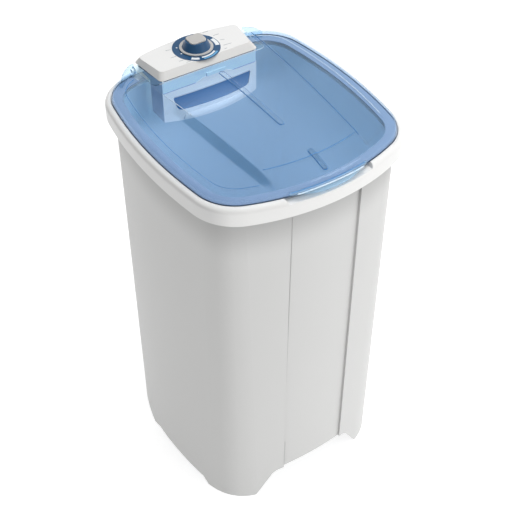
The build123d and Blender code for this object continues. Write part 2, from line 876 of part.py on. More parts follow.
with BuildPart() as control_housing:
    add(housing_shape(0))
    add(housing_shape(housing_wall), mode=Mode.SUBTRACT)
    upright(housing_boss, rebate_floor, rebate_floor + housing_boss_height, mount_places)
    block((catch_x - catch_half_w, catch_x + catch_half_w),
          (housing_front_y - catch_reach, housing_front_y + housing_wall), (catch_low, catch_high))
    hinge_bars(hinge_ear_radius, housing_half_w - housing_wall, cutout_half_w - hinge_side_gap)
    hinge_bars(hinge_pin_radius + hinge_fit, housing_half_w - housing_wall - cut_past, cutout_half_w,
               mode=Mode.SUBTRACT)
    add(screw_room(mount_planes, mount_screw_length), mode=Mode.SUBTRACT)
    add(screw_room(panel_planes, panel_screw_length), mode=Mode.SUBTRACT)
save(control_housing, "control_housing")
save(screw_set(mount_planes, mount_screw_length), "housing_screws")

with BuildPart() as hinge_pins:
    inner_face = housing_half_w - housing_wall
    hinge_bars(hinge_pin_radius, inner_face, cutout_half_w + hinge_ear + hinge_side_gap)
    hinge_bars(hinge_pin_head, inner_face - hinge_pin_cap, inner_face)
save(hinge_pins, "hinge_pins")


# Control panel: a bevelled white slab, hollow below, that closes the housing
def panel_outline(level, front_half, back_half, front_y, corner_y, back_y, inset):
    """Panel outline with a bowed back, moved inwards by inset."""
    front_half, back_half = front_half - inset, back_half - inset
    front_y, corner_y, back_y = front_y + inset, corner_y - inset, back_y - inset
    with BuildSketch(Plane.XY.offset(level)) as sketch:
        with BuildLine() as outline:
            Polyline((-back_half, corner_y), (-front_half, front_y), (front_half, front_y),
                     (back_half, corner_y))
            ThreePointArc((back_half, corner_y), (0, back_y), (-back_half, corner_y))
        make_face()
        fillet(sketch.vertices(), panel_corner - inset)
    return sketch.sketch


def panel_solid(inset, top):
    """The panel's bevelled body, moved inwards by inset, up to a height."""
    with BuildPart() as body:
        loft([panel_outline(panel_bottom, panel_front_half_w, panel_back_half_w, panel_front_y,
                            panel_corner_y, panel_back_y, inset),
              panel_outline(top, plateau_front_half_w, plateau_back_half_w, plateau_front_y,
                            plateau_corner_y, plateau_back_y, inset)], ruled=True)
    return body.part


with BuildPart() as control_panel:
    add(panel_solid(0, panel_top))
    add(panel_solid(panel_rim, panel_top - panel_wall), mode=Mode.SUBTRACT)
    boss_top = panel_top - panel_wall / 2
    upright(panel_boss, housing_seam + housing_wall, boss_top, panel_front_places)
    upright(panel_boss, rim_top + housing_wall, boss_top, panel_back_places)
    upright(dial_bore, panel_bottom, panel_top, [(0, knob_y)], mode=Mode.SUBTRACT)
    add(screw_room(panel_planes, panel_screw_length), mode=Mode.SUBTRACT)
save(control_panel, "control_panel")
save(screw_set(panel_planes, panel_screw_length), "panel_screws")

with BuildPart() as dial_ring:
    upright(dial_radius, panel_top, dial_top, [(0, knob_y)])
    upright(dial_bore, panel_top, dial_top, [(0, knob_y)], mode=Mode.SUBTRACT)
save(dial_ring, "dial_ring")

# Timer under the panel, and the knob that turns its shaft
timer_top = panel_top - panel_wall
with BuildPart() as timer_body:
    with BuildSketch(Plane.XY.offset(timer_top - timer_height)):
        with Locations((0, knob_y)):
            RectangleRounded(timer_size, timer_size, timer_corner)
    extrude(amount=timer_height)
    upright(timer_shaft_radius + shaft_fit, timer_shaft_bottom, timer_top, [(0, knob_y)],
            mode=Mode.SUBTRACT)
save(timer_body, "timer_body")

with BuildPart() as timer_shaft:
    upright(timer_shaft_radius, timer_shaft_bottom, knob_cap_level, [(0, knob_y)])
save(timer_shaft, "timer_shaft")

with BuildPart() as knob_skirt:
    upright(knob_skirt_radius, knob_bottom, knob_seat, [(0, knob_y)])
    upright(timer_shaft_radius + shaft_fit, knob_bottom, knob_seat, [(0, knob_y)], mode=Mode.SUBTRACT)
save(knob_skirt, "knob_skirt")

with BuildPart() as knob_body:
    with Locations((0, knob_y, (knob_seat + knob_cap_level) / 2)):
        Cone(knob_base_radius, knob_waist_radius, knob_cap_level - knob_seat)
    upright(timer_shaft_radius + shaft_fit, knob_seat, knob_cap_level, [(0, knob_y)], mode=Mode.SUBTRACT)
save(knob_body, "knob_body")

with BuildPart() as knob_cap:
    with BuildSketch(Plane.XY.offset(knob_cap_level)):
        with Locations((0, knob_y)):
            RectangleRounded(*knob_cap_size, knob_cap_round)
    extrude(amount=knob_cap_height)
    fillet(knob_cap.edges().group_by(Axis.Z)[-1], knob_cap_height / 3)
save(knob_cap, "knob_cap")


# Filter housing: the lower box in the tub's mouth, its front bulging towards the bottom
def filter_section(level, bow, inset):
    """Plan of the filter housing at one end, moved inwards by inset."""
    half = housing_half_w - inset
    front = housing_front_y + inset
    back = housing_low_back_y - inset
    with BuildSketch(Plane.XY.offset(level)) as sketch:
        with BuildLine():
            ThreePointArc((-half, front), (0, front - bow), (half, front))
            Polyline((half, front), (half, back), (-half, back), (-half, front))
        make_face()
    return sketch.sketch


def filter_solid(inset):
    """The filter housing's outer form, moved inwards by inset. Its bow fades out at the seam."""
    with BuildPart() as body:
        loft([filter_section(housing_bottom, housing_bow, inset),
              filter_section(housing_seam, seam_bow, inset)], ruled=True)
    return body.part


def window_prism(grow):
    """The window's outline as a prism through the front wall."""
    top, bottom = window_top + grow, window_bottom - grow
    half_top, half_bottom = window_half_top + grow, window_half_bottom + grow
    with BuildPart() as prism:
        with BuildSketch(Plane.XZ.offset(-housing_front_y - 2 * housing_wall)):
            with BuildLine():
                FilletPolyline((window_x - half_top, top), (window_x - half_bottom, bottom),
                               (window_x + half_bottom, bottom), (window_x + half_top, top), close=True,
                               radius=[window_round / 4, window_round, window_round, window_round / 4])
            make_face()
        extrude(amount=housing_bow + 4 * housing_wall)
    return prism.part


drawer_low = window_bottom + 2 * drawer_gap
drawer_high = window_top - 2 * drawer_gap
drawer_seat = drawer_low + drawer_wall
filter_middle_y = (housing_front_y + housing_low_back_y) / 2

with BuildPart() as filter_room:
    add(filter_solid(housing_wall))
    block((-far, far), (0, far), (0, housing_bottom + housing_wall), mode=Mode.SUBTRACT)

with BuildPart() as filter_housing:
    add(filter_solid(0))
    add(filter_room.part, mode=Mode.SUBTRACT)
    add(window_prism(0), mode=Mode.SUBTRACT)
    for side in (-1, 1):
        block(sorted((side * runner_x, side * (runner_x + runner_width))),
              (housing_front_y + housing_wall, drawer_back_y),
              (housing_bottom + housing_wall / 2, drawer_low - drawer_gap))
    with Locations((0, filter_middle_y, housing_bottom)):
        with GridLocations(grate_pitch, 1, grate_count, 1):
            Box(grate_slot, grate_length, 4 * housing_wall, mode=Mode.SUBTRACT)
save(filter_housing, "filter_housing")


def drawer_box(inset, low, high, skin):
    """The drawer's box behind its face, cut to the bulged front."""
    half = drawer_half_w - inset
    with BuildPart() as box:
        block((-half, half), (0, drawer_back_y - inset), (low, high))
        add(filter_solid(skin), mode=Mode.INTERSECT)
    return box.part


with BuildPart() as filter_drawer:
    add(filter_solid(drawer_recess))
    add(filter_solid(drawer_recess + drawer_face), mode=Mode.SUBTRACT)
    add(window_prism(-drawer_gap), mode=Mode.INTERSECT)
    add(drawer_box(0, drawer_low, drawer_high, drawer_recess + drawer_face / 2))
    add(drawer_box(drawer_wall, drawer_seat, window_top, drawer_recess + drawer_face), mode=Mode.SUBTRACT)
    with Locations((0, filter_middle_y, drawer_low)):
        Box(mesh_columns * mesh_pitch, mesh_rows * mesh_pitch, 4 * drawer_wall, mode=Mode.SUBTRACT)
save(filter_drawer, "filter_drawer")

with BuildPart() as filter_mesh:
    half = drawer_half_w - drawer_wall - mesh_edge_gap
    block((-half, half), (housing_front_y, drawer_back_y - drawer_wall - mesh_edge_gap),
          (drawer_seat, drawer_seat + mesh_thickness))
    with Locations((0, filter_middle_y, drawer_seat)):
        with GridLocations(mesh_pitch, mesh_pitch, mesh_columns, mesh_rows):
            Box(mesh_hole, mesh_hole, 4 * mesh_thickness, mode=Mode.SUBTRACT)
save(filter_mesh, "filter_mesh")

# Bearing housing under the tub, with two bushes and a seal round the shaft
neck_top = tub_floor + neck_rise
bush_radius = shaft_radius + bush_wall
bearing_top = tub_under - bearing_flange

with BuildPart() as bearing_housing:
    upright(bearing_flange_radius, bearing_top, tub_under)
    upright(barrel_radius, barrel_bottom, bearing_top)
    upright(neck_radius, bearing_top, neck_top)
    upright(bush_radius + shaft_fit, neck_top - bush_inset - bush_length, neck_top + cut_past,
            mode=Mode.SUBTRACT)
    upright(bush_radius + shaft_fit, barrel_bottom - cut_past, barrel_bottom + bush_inset + bush_length,
            mode=Mode.SUBTRACT)
    upright(shaft_radius + barrel_bore_gap, barrel_bottom, neck_top, mode=Mode.SUBTRACT)
    add(screw_room(bearing_planes, bearing_screw_length), mode=Mode.SUBTRACT)
save(bearing_housing, "bearing_housing")
save(screw_set(bearing_planes, bearing_screw_length), "bearing_screws")

with BuildPart() as shaft_bushes:
    for low in (barrel_bottom + bush_inset, neck_top - bush_inset - bush_length):
        upright(bush_radius, low, low + bush_length)
    upright(shaft_radius + shaft_fit, barrel_bottom, neck_top, mode=Mode.SUBTRACT)
save(shaft_bushes, "shaft_bushes")

with BuildPart() as shaft_seal:
    upright(bush_radius, neck_top - bush_inset, neck_top)
    upright(shaft_radius + seal_gap, neck_top - bush_inset, neck_top, mode=Mode.SUBTRACT)
save(shaft_seal, "shaft_seal")

# Agitator: a dished plate with a hub and curved vanes, on its own shaft
agitator_low = tub_floor + agitator_lift

with BuildPart() as agitator:
    upright(agitator_radius, agitator_low, agitator_low + agitator_plate)
    upright(agitator_radius, agitator_low, agitator_low + agitator_rim)
    upright(agitator_radius - agitator_plate, agitator_low + agitator_plate,
            agitator_low + agitator_rim, mode=Mode.SUBTRACT)
    with Locations((0, 0, (agitator_low + agitator_hub_top) / 2)):
        Cone(agitator_hub_radius, agitator_hub_top_radius, agitator_hub_top - agitator_low)
    with BuildSketch(Plane.XY.offset(agitator_low)):
        with PolarLocations(0, vane_count):
            with Locations((vane_reach / 2, 0)):
                SlotOverall(vane_reach, vane_width)
    extrude(amount=vane_height)
    upright(shaft_radius + shaft_fit, agitator_low, agitator_hub_top, mode=Mode.SUBTRACT)
save(agitator, "agitator")

with BuildPart() as agitator_shaft:
    upright(shaft_radius, shaft_bottom, agitator_hub_top)
    upright(screw_radius + thread_gap, agitator_hub_top - cap_screw_length, agitator_hub_top,
            mode=Mode.SUBTRACT)
save(agitator_shaft, "agitator_shaft")

with BuildPart() as agitator_cap:
    upright(cap_radius, agitator_hub_top, agitator_hub_top + cap_height)
    upright(screw_radius, agitator_hub_top - cap_screw_length + screw_tip_gap, agitator_hub_top)
    fillet(agitator_cap.edges().group_by(Axis.Z)[-1], cap_height / 3)
save(agitator_cap, "agitator_cap")


# Belt drive between two grooved pulleys
def pulley_body(pitch, bore, hub, centre_y):
    """A flat-belt pulley with side lips, a web and a hub."""
    half = belt_width / 2 + belt_gap
    floor = pitch - belt_height / 2 - belt_gap
    places = [(0, centre_y)]
    low, high = belt_level - half, belt_level + half
    upright(floor, low - pulley_flange, high + pulley_flange, places)
    for level in (low - pulley_flange, high):
        upright(pitch + belt_height / 2 + pulley_lip, level, level + pulley_flange, places)
    if floor - pulley_rim > hub:
        for start, end in ((low - pulley_flange, belt_level - pulley_web / 2),
                           (belt_level + pulley_web / 2, high + pulley_flange)):
            upright(floor - pulley_rim, start, end, places, mode=Mode.SUBTRACT)
        upright(hub, low - pulley_flange, high + pulley_flange, places)
    upright(bore, low - pulley_flange, high + pulley_flange, places, mode=Mode.SUBTRACT)


with BuildPart() as agitator_pulley:
    pulley_body(pulley_pitch_radius, shaft_radius + shaft_fit, pulley_hub_radius, 0)
    with PolarLocations(pulley_hole_circle, pulley_hole_count):
        with Locations((0, 0, belt_level)):
            Cylinder(pulley_hole_radius, 2 * belt_width, mode=Mode.SUBTRACT)
save(agitator_pulley, "agitator_pulley")

pulley_low = belt_level - belt_width / 2 - belt_gap - pulley_flange
with BuildPart() as pulley_nut:
    with BuildSketch(Plane.XY.offset(pulley_low - nut_height)):
        RegularPolygon(nut_radius, 6)
        Circle(shaft_radius + shaft_fit, mode=Mode.SUBTRACT)
    extrude(amount=nut_height)
save(pulley_nut, "pulley_nut")

with BuildPart() as motor_pulley:
    pulley_body(motor_pitch_radius, motor_shaft_radius + shaft_fit, motor_pitch_radius, motor_y)
save(motor_pulley, "motor_pulley")


def belt_loop(offset):
    """The belt's inner or outer line as a filled shape round both pulleys."""
    with BuildSketch(Plane.XY.offset(belt_level - belt_width / 2)) as sketch:
        with BuildLine():
            CenterArc((0, 0), pulley_pitch_radius + offset, 0, 360)
            CenterArc((0, motor_y), motor_pitch_radius + offset, 0, 360)
        make_hull()
    return sketch.sketch


with BuildPart() as drive_belt:
    extrude(belt_loop(belt_height / 2), amount=belt_width)
    extrude(belt_loop(-belt_height / 2), amount=belt_width, mode=Mode.SUBTRACT)
save(drive_belt, "drive_belt")

# Motor: two case halves, stator, rotor on its shaft, fan, and its mounting beam
motor_top = motor_bottom + motor_height
motor_place = [(0, motor_y)]
ear_places = [(loc.position.X, loc.position.Y + motor_y)
              for loc in PolarLocations(ear_circle, 4, start_angle=45)]
ear_planes = facing_up(ear_places, beam_top)
ear_bolt_length = beam_plate + grommet_height + ear_thickness
motor_shaft_top = belt_level + belt_width / 2 + belt_gap + pulley_flange + motor_shaft_end


def motor_shell(low, high):
    """One half of the motor case between two heights."""
    upright(motor_radius, low, high, motor_place)
    upright(motor_radius - motor_wall, max(low, motor_bottom + motor_wall),
            min(high, motor_top - motor_wall), motor_place, mode=Mode.SUBTRACT)


def bearing_seat(low):
    """A raised seat round one of the motor's bearings."""
    upright(motor_bearing_radius + motor_wall, low, low + motor_bearing_height, motor_place)
    upright(motor_bearing_radius + shaft_fit, low, low + motor_bearing_height, motor_place,
            mode=Mode.SUBTRACT)


lower_seat = motor_bottom + motor_wall
upper_seat = motor_top - motor_wall - motor_bearing_height

with BuildPart() as motor_case_lower:
    motor_shell(motor_bottom, motor_split)
    bearing_seat(lower_seat)
    upright(motor_shaft_radius + seal_gap, motor_bottom, motor_split, motor_place, mode=Mode.SUBTRACT)
save(motor_case_lower, "motor_case_lower")

with BuildPart() as motor_case_upper:
    motor_shell(motor_split, motor_top)
    upright(ear_radius, motor_top - ear_thickness, motor_top, ear_places)
    upright(motor_radius - motor_wall, upper_seat, motor_top - motor_wall, motor_place, mode=Mode.SUBTRACT)
    bearing_seat(upper_seat)
    upright(motor_shaft_radius + seal_gap, motor_split, motor_top, motor_place, mode=Mode.SUBTRACT)
    add(screw_room(ear_planes, ear_bolt_length, bolt_radius + thread_gap), mode=Mode.SUBTRACT)
save(motor_case_upper, "motor_case_upper")

with BuildPart() as motor_bearings:
    for level in (lower_seat, upper_seat):
        upright(motor_bearing_radius, level, level + motor_bearing_height, motor_place)
    upright(motor_shaft_radius + shaft_fit, motor_bottom, motor_top, motor_place, mode=Mode.SUBTRACT)
save(motor_bearings, "motor_bearings")

with BuildPart() as stator:
    upright(motor_radius - motor_wall - thread_gap, stack_low, stack_high, motor_place)
    upright(rotor_radius + motor_air_gap, stack_low, stack_high, motor_place, mode=Mode.SUBTRACT)
    upright(coil_outer_radius, stack_low - coil_height, stack_high + coil_height, motor_place)
    upright(coil_inner_radius, stack_low - coil_height, stack_high + coil_height, motor_place,
            mode=Mode.SUBTRACT)
save(stator, "stator")

with BuildPart() as rotor:
    upright(rotor_radius, stack_low, stack_high, motor_place)
    upright(motor_shaft_radius + shaft_fit, stack_low, stack_high, motor_place, mode=Mode.SUBTRACT)
save(rotor, "rotor")

with BuildPart() as motor_shaft:
    upright(motor_shaft_radius, motor_shaft_bottom, motor_shaft_top, motor_place)
save(motor_shaft, "motor_shaft")

fan_top = motor_bottom - fan_gap
with BuildPart() as motor_fan:
    upright(fan_radius, fan_top - fan_disc, fan_top, motor_place)
    upright(fan_hub_radius, fan_top - fan_height, fan_top, motor_place)
    with BuildSketch(Plane.XY.offset(fan_top - fan_height)):
        with Locations((0, motor_y)):
            with PolarLocations(0, fan_blades):
                with Locations((fan_radius / 2, 0)):
                    Rectangle(fan_radius, fan_blade)
    extrude(amount=fan_height)
    upright(motor_shaft_radius + shaft_fit, fan_top - fan_height, fan_top, motor_place, mode=Mode.SUBTRACT)
save(motor_fan, "motor_fan")

with BuildPart() as motor_grommets:
    upright(grommet_radius, motor_top, beam_level, ear_places)
    upright(bolt_radius + thread_gap, motor_top, beam_level, ear_places, mode=Mode.SUBTRACT)
save(motor_grommets, "motor_grommets")
save(screw_set(ear_planes, ear_bolt_length, bolt_radius, (bolt_head_radius, bolt_head)), "motor_bolts")

beam_front = motor_y - beam_depth / 2
beam_back = motor_y + beam_depth / 2
with BuildPart() as motor_beam:
    block((-far, far), (beam_front, beam_back), (beam_level, beam_top))
    for y in (beam_front, beam_back - beam_plate):
        block((-far, far), (y, y + beam_plate), (beam_level, beam_top + beam_flange))
    add(cabinet_solid(cabinet_wall + beam_end_gap), mode=Mode.INTERSECT)
    upright(beam_shaft_hole, beam_level - cut_past, beam_top + cut_past, motor_place, mode=Mode.SUBTRACT)
    add(screw_room(ear_planes, ear_bolt_length, bolt_radius + thread_gap), mode=Mode.SUBTRACT)
    add(screw_room(beam_planes, beam_screw_length), mode=Mode.SUBTRACT)
save(motor_beam, "motor_beam")
save(screw_set(beam_planes, beam_screw_length), "beam_screws")

# Run capacitor in its clip, and the terminal box, on the beam
capacitor_place = [(capacitor_x, motor_y)]
with BuildPart() as capacitor:
    upright(capacitor_radius, beam_top, beam_top + capacitor_height, capacitor_place)
    fillet(capacitor.edges().group_by(Axis.Z)[-1], capacitor_radius / 8)
save(capacitor, "capacitor")

clip_reach = capacitor_radius + thread_gap + clip_thickness
with BuildPart() as capacitor_clip:
    upright(clip_reach, beam_top, beam_top + clip_height, capacitor_place)
    with Locations((capacitor_x, motor_y, beam_top + clip_thickness / 2)):
        Box(2 * (clip_reach + clip_foot), clip_foot, clip_thickness)
    upright(capacitor_radius + thread_gap, beam_top, beam_top + clip_height, capacitor_place,
            mode=Mode.SUBTRACT)
save(capacitor_clip, "capacitor_clip")

with BuildPart() as terminal_box:
    with Locations((terminal_x, motor_y, beam_top + terminal_size[2] / 2)):
        Box(*terminal_size)
    fillet(terminal_box.edges().group_by(Axis.Z)[-1], terminal_round)
save(terminal_box, "terminal_box")

# Water inlet: a barrel through the cabinet's back and the tub's wall, with a hose nose outside
with BuildPart() as water_inlet:
    for radius, start, end in ((inlet_barrel_radius, inlet_start, inlet_seat),
                               (inlet_flange_radius, inlet_seat, inlet_seat + inlet_flange),
                               (inlet_radius, inlet_seat + inlet_flange, inlet_end)):
        with BuildSketch(Plane.XZ.offset(-start)):
            with Locations((0, inlet_z)):
                Circle(radius)
                Circle(inlet_bore, mode=Mode.SUBTRACT)
        extrude(amount=start - end)
save(water_inlet, "water_inlet")

with BuildPart() as inlet_nut:
    with BuildSketch(Plane.XZ.offset(inlet_nut_gap - inlet_inner)):
        with Locations((0, inlet_z)):
            RegularPolygon(inlet_nut_radius, 6)
            Circle(inlet_barrel_radius + thread_gap, mode=Mode.SUBTRACT)
    extrude(amount=inlet_nut_height)
save(inlet_nut, "inlet_nut")

# Drain: a grille in the tub floor over an elbow that leaves through the back
with BuildPart() as drain_spigot:
    with BuildLine() as drain_path:
        FilletPolyline((drain_x, drain_y, tub_floor), (drain_x, drain_y, drain_level),
                       (drain_x, drain_end - drain_tail, drain_level), radius=drain_bend)
    with BuildSketch(Plane((drain_x, drain_y, tub_floor), z_dir=(0, 0, -1))):
        Circle(drain_radius)
        Circle(drain_bore, mode=Mode.SUBTRACT)
    sweep()
    with BuildSketch(Plane.XZ.offset(-drain_end)):
        with Locations((drain_x, drain_level)):
            Circle(drain_tail_radius)
            Circle(drain_bore, mode=Mode.SUBTRACT)
    extrude(amount=drain_tail)
    upright(drain_collar_radius, tub_under - drain_collar, tub_under, [(drain_x, drain_y)])
    upright(drain_bore, tub_under - drain_collar - cut_past, tub_floor, [(drain_x, drain_y)],
            mode=Mode.SUBTRACT)
save(drain_spigot, "drain_spigot")

with BuildPart() as drain_grille:
    upright(grille_radius, tub_floor, tub_floor + grille_thickness, [(drain_x, drain_y)])
    with Locations((drain_x, drain_y, tub_floor)):
        Cylinder(grille_hole, 4 * grille_thickness, mode=Mode.SUBTRACT)
        with PolarLocations(grille_circle, grille_count):
            Cylinder(grille_hole, 4 * grille_thickness, mode=Mode.SUBTRACT)
save(drain_grille, "drain_grille")

# Cable gland, bare, in the lower back corner
with BuildPart() as cable_gland:
    with BuildSketch(gland_plane.offset(gland_seat_gap)):
        Circle(gland_collar_radius)
    extrude(amount=gland_collar)
    with BuildSketch(gland_plane.offset(gland_seat_gap + gland_collar)):
        Circle(gland_radius)
    extrude(amount=-gland_length)
    with BuildSketch(gland_plane.offset(2 * gland_collar)):
        Circle(gland_bore)
    extrude(amount=-2 * gland_length, mode=Mode.SUBTRACT)
save(cable_gland, "cable_gland")
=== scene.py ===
"""Looks for the semi-automatic washing machine: camera, light, materials and detailed shells.

Everything is in metres, in the machine's own frame: origin on the floor, front towards -Y.
"""

import json
import math

import bmesh
import bpy
import numpy as np
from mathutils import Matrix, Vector
from mathutils.geometry import delaunay_2d_cdt


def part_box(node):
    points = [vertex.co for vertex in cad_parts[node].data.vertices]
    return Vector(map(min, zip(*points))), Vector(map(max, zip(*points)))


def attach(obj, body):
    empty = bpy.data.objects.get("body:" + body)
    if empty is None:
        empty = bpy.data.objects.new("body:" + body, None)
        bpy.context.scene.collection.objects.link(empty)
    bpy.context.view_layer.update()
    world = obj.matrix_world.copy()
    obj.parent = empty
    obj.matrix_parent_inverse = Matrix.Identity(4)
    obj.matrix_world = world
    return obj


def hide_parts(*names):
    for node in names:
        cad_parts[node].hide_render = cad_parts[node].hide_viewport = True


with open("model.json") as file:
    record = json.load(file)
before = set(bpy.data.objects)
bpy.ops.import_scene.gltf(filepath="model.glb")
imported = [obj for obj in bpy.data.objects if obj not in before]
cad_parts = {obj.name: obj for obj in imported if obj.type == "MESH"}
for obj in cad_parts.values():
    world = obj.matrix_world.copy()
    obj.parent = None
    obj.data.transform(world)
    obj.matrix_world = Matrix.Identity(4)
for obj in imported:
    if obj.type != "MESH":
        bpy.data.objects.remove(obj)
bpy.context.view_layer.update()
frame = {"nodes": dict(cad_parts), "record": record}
nodes = frame["nodes"]
MM = 0.001


# Camera: the photograph's viewpoint
VIEW_AZIMUTH = math.radians(-33.2)
VIEW_ELEVATION = math.radians(44.6)
VIEW_DISTANCE = 2.2178
VIEW_TARGET = Vector((0, 0, 0.4425))
LENS = 69.23
SENSOR = 36
SHIFT = (0.0129, 0.0348)


def make_camera():
    """A camera that looks at the target from the view's azimuth, elevation and distance."""
    away = Vector((math.sin(VIEW_AZIMUTH) * math.cos(VIEW_ELEVATION),
                   -math.cos(VIEW_AZIMUTH) * math.cos(VIEW_ELEVATION),
                   math.sin(VIEW_ELEVATION)))
    data = bpy.data.cameras.new("camera")
    data.lens = LENS
    data.sensor_width = SENSOR
    data.shift_x, data.shift_y = SHIFT
    camera = bpy.data.objects.new("camera", data)
    bpy.context.scene.collection.objects.link(camera)
    camera.location = VIEW_TARGET + away * VIEW_DISTANCE
    camera.rotation_euler = (-away).to_track_quat("-Z", "Y").to_euler()
    bpy.context.scene.camera = camera


# Building blocks: meshes, materials and shader nodes
def mesh_object(name, vertices, faces, material, smooth=True):
    """A mesh with one material, linked into the scene."""
    mesh = bpy.data.meshes.new(name)
    mesh.from_pydata([tuple(v) for v in vertices], [], faces)
    mesh.materials.append(material)
    if smooth:
        mesh.polygons.foreach_set("use_smooth", [True] * len(mesh.polygons))
    mesh.update()
    piece = bpy.data.objects.new(name, mesh)
    bpy.context.scene.collection.objects.link(piece)
    return piece


def new_material(name, colour, roughness):
    """A material with its node tree and its main shader."""
    material = bpy.data.materials.new(name)
    material.use_nodes = True
    tree = material.node_tree
    shader = tree.nodes["Principled BSDF"]
    shader.inputs["Base Color"].default_value = (*colour, 1)
    shader.inputs["Roughness"].default_value = roughness
    return material, tree, shader


def glowing_white(name, colour, roughness, strength):
    """A material that shines white over its own colour."""
    material, _, shader = new_material(name, colour, roughness)
    shader.inputs["Emission Color"].default_value = (1, 1, 1, 1)
    shader.inputs["Emission Strength"].default_value = strength
    return material


def add_node(tree, kind, values=None, **settings):
    """A shader node of a kind, with its settings and the values of some of its inputs."""
    made = tree.nodes.new("ShaderNode" + kind)
    for key, setting in settings.items():
        setattr(made, key, setting)
    for key, value in (values or {}).items():
        made.inputs[key].default_value = value
    return made


# Light, floor and backdrop
SKY_MEAN = 0.475
SKY_SLOPE = (0.32, -0.11, 0.20)
FLOOR_REACH = 30
FLOOR_COLOUR = (0.50, 0.50, 0.50)
FLOOR_GLOW = 0.78
BACKDROP_RADIUS = FLOOR_REACH - 1
BACKDROP_LEVELS = (-1, 25)
BACKDROP_SIDES = 64


def make_sky():
    """White light from all round, brighter towards the right, the front and above."""
    scene = bpy.context.scene
    scene.view_settings.view_transform = "Standard"
    world = bpy.data.worlds.new("studio")
    scene.world = world
    world.use_nodes = True
    tree = world.node_tree
    link = tree.links.new
    background = tree.nodes["Background"]
    background.inputs["Color"].default_value = (1, 1, 1, 1)
    place = add_node(tree, "TexCoord")
    lean = add_node(tree, "VectorMath", {1: SKY_SLOPE}, operation="DOT_PRODUCT")
    level = add_node(tree, "Math", {1: SKY_MEAN}, operation="ADD")
    link(place.outputs["Generated"], lean.inputs[0])
    link(lean.outputs["Value"], level.inputs[0])
    link(level.outputs["Value"], background.inputs["Strength"])


def area_light(name, place, aim, size, power, mirrored=True):
    """A round lamp aimed at a point, which glossy surfaces don't show unless it is mirrored."""
    data = bpy.data.lights.new(name, "AREA")
    data.shape = "DISK"
    data.size = size
    data.energy = power
    lamp = bpy.data.objects.new(name, data)
    bpy.context.scene.collection.objects.link(lamp)
    lamp.location = place
    lamp.rotation_euler = (Vector(place) - Vector(aim)).to_track_quat("Z", "Y").to_euler()
    lamp.visible_glossy = mirrored


def make_floor():
    """A plain pale floor."""
    corners = [(-FLOOR_REACH, -FLOOR_REACH, 0), (FLOOR_REACH, -FLOOR_REACH, 0),
               (FLOOR_REACH, FLOOR_REACH, 0), (-FLOOR_REACH, FLOOR_REACH, 0)]
    material = glowing_white("floor_white", FLOOR_COLOUR, 0.9, FLOOR_GLOW)
    floor = mesh_object("floor", corners, [(0, 1, 2, 3)], material, smooth=False)


def make_backdrop():
    """A white wall round the floor, seen by the camera alone."""
    sides = BACKDROP_SIDES
    turns = [2 * math.pi * k / sides for k in range(sides)]
    points = [(BACKDROP_RADIUS * math.cos(turn), BACKDROP_RADIUS * math.sin(turn), level)
              for level in BACKDROP_LEVELS for turn in turns]
    faces = [(k, (k + 1) % sides, sides + (k + 1) % sides, sides + k) for k in range(sides)]
    material = glowing_white("backdrop_white", (0, 0, 0), 1.0, 1.0)
    wall = mesh_object("backdrop", points, faces, material, smooth=False)
    wall.visible_diffuse = False
    wall.visible_glossy = False
    wall.visible_transmission = False
    wall.visible_shadow = False


# Materials
DRIFT_SCALE = 6.0
DRIFT_DARK = 0.985
DRIFT_LIGHT = 1.01
GLOSS_SPREAD = 0.04
GRAIN_SCALE = 1200.0
GRAIN_STRENGTH = 0.02
GRAIN_DEPTH = 0.0004
TURNED_FROM = {"Z": 0.98, "X": 0.6}
TURNED_TO = 0.85
MIRROR_LEAST = 0.02
MIRROR_MOST = 0.9
MIRROR_POWER = 5.0
HAZE_RIGHT = 0.14
HAZE_LEFT = -0.03
HAZE_FRONT = 0.02
HAZE_BACK = 0.10
HAZE_BACK_SHARE = 0.08


def multiply(tree, paint, amount, colour):
    """Paint multiplied by a colour, as far as the amount says."""
    mix = add_node(tree, "Mix", {"B": (*colour, 1)}, data_type="RGBA", blend_type="MULTIPLY")
    tree.links.new(amount, mix.inputs["Factor"])
    tree.links.new(paint, mix.inputs["A"])
    return mix.outputs["Result"]


def painted_shade_upwards(tree, place, paint, shade):
    """Painted shade: paint that darkens from a low level up to a high one, where a share of it is left."""
    high, low, share = shade
    split = add_node(tree, "SeparateXYZ")
    fall = add_node(tree, "MapRange", {"From Min": high, "From Max": low, "To Min": 1 - share, "To Max": 0},
                    interpolation_type="SMOOTHERSTEP")
    tree.links.new(place.outputs["Object"], split.inputs["Vector"])
    tree.links.new(split.outputs["Z"], fall.inputs["Value"])
    return multiply(tree, paint, fall.outputs["Result"], (0, 0, 0))


def painted_side_shade(tree, paint, sides):
    """Painted shade: paint multiplied by a colour on faces that don't lie flat for Z, or that look sideways
    for X.
    """
    axis, colour = sides
    facing = add_node(tree, "NewGeometry")
    split = add_node(tree, "SeparateXYZ")
    size = add_node(tree, "Math", operation="ABSOLUTE")
    turned = add_node(tree, "MapRange", {"From Min": TURNED_FROM[axis], "From Max": TURNED_TO})
    tree.links.new(facing.outputs["Normal"], split.inputs["Vector"])
    tree.links.new(split.outputs[axis], size.inputs[0])
    tree.links.new(size.outputs["Value"], turned.inputs["Value"])
    return multiply(tree, paint, turned.outputs["Result"], colour)


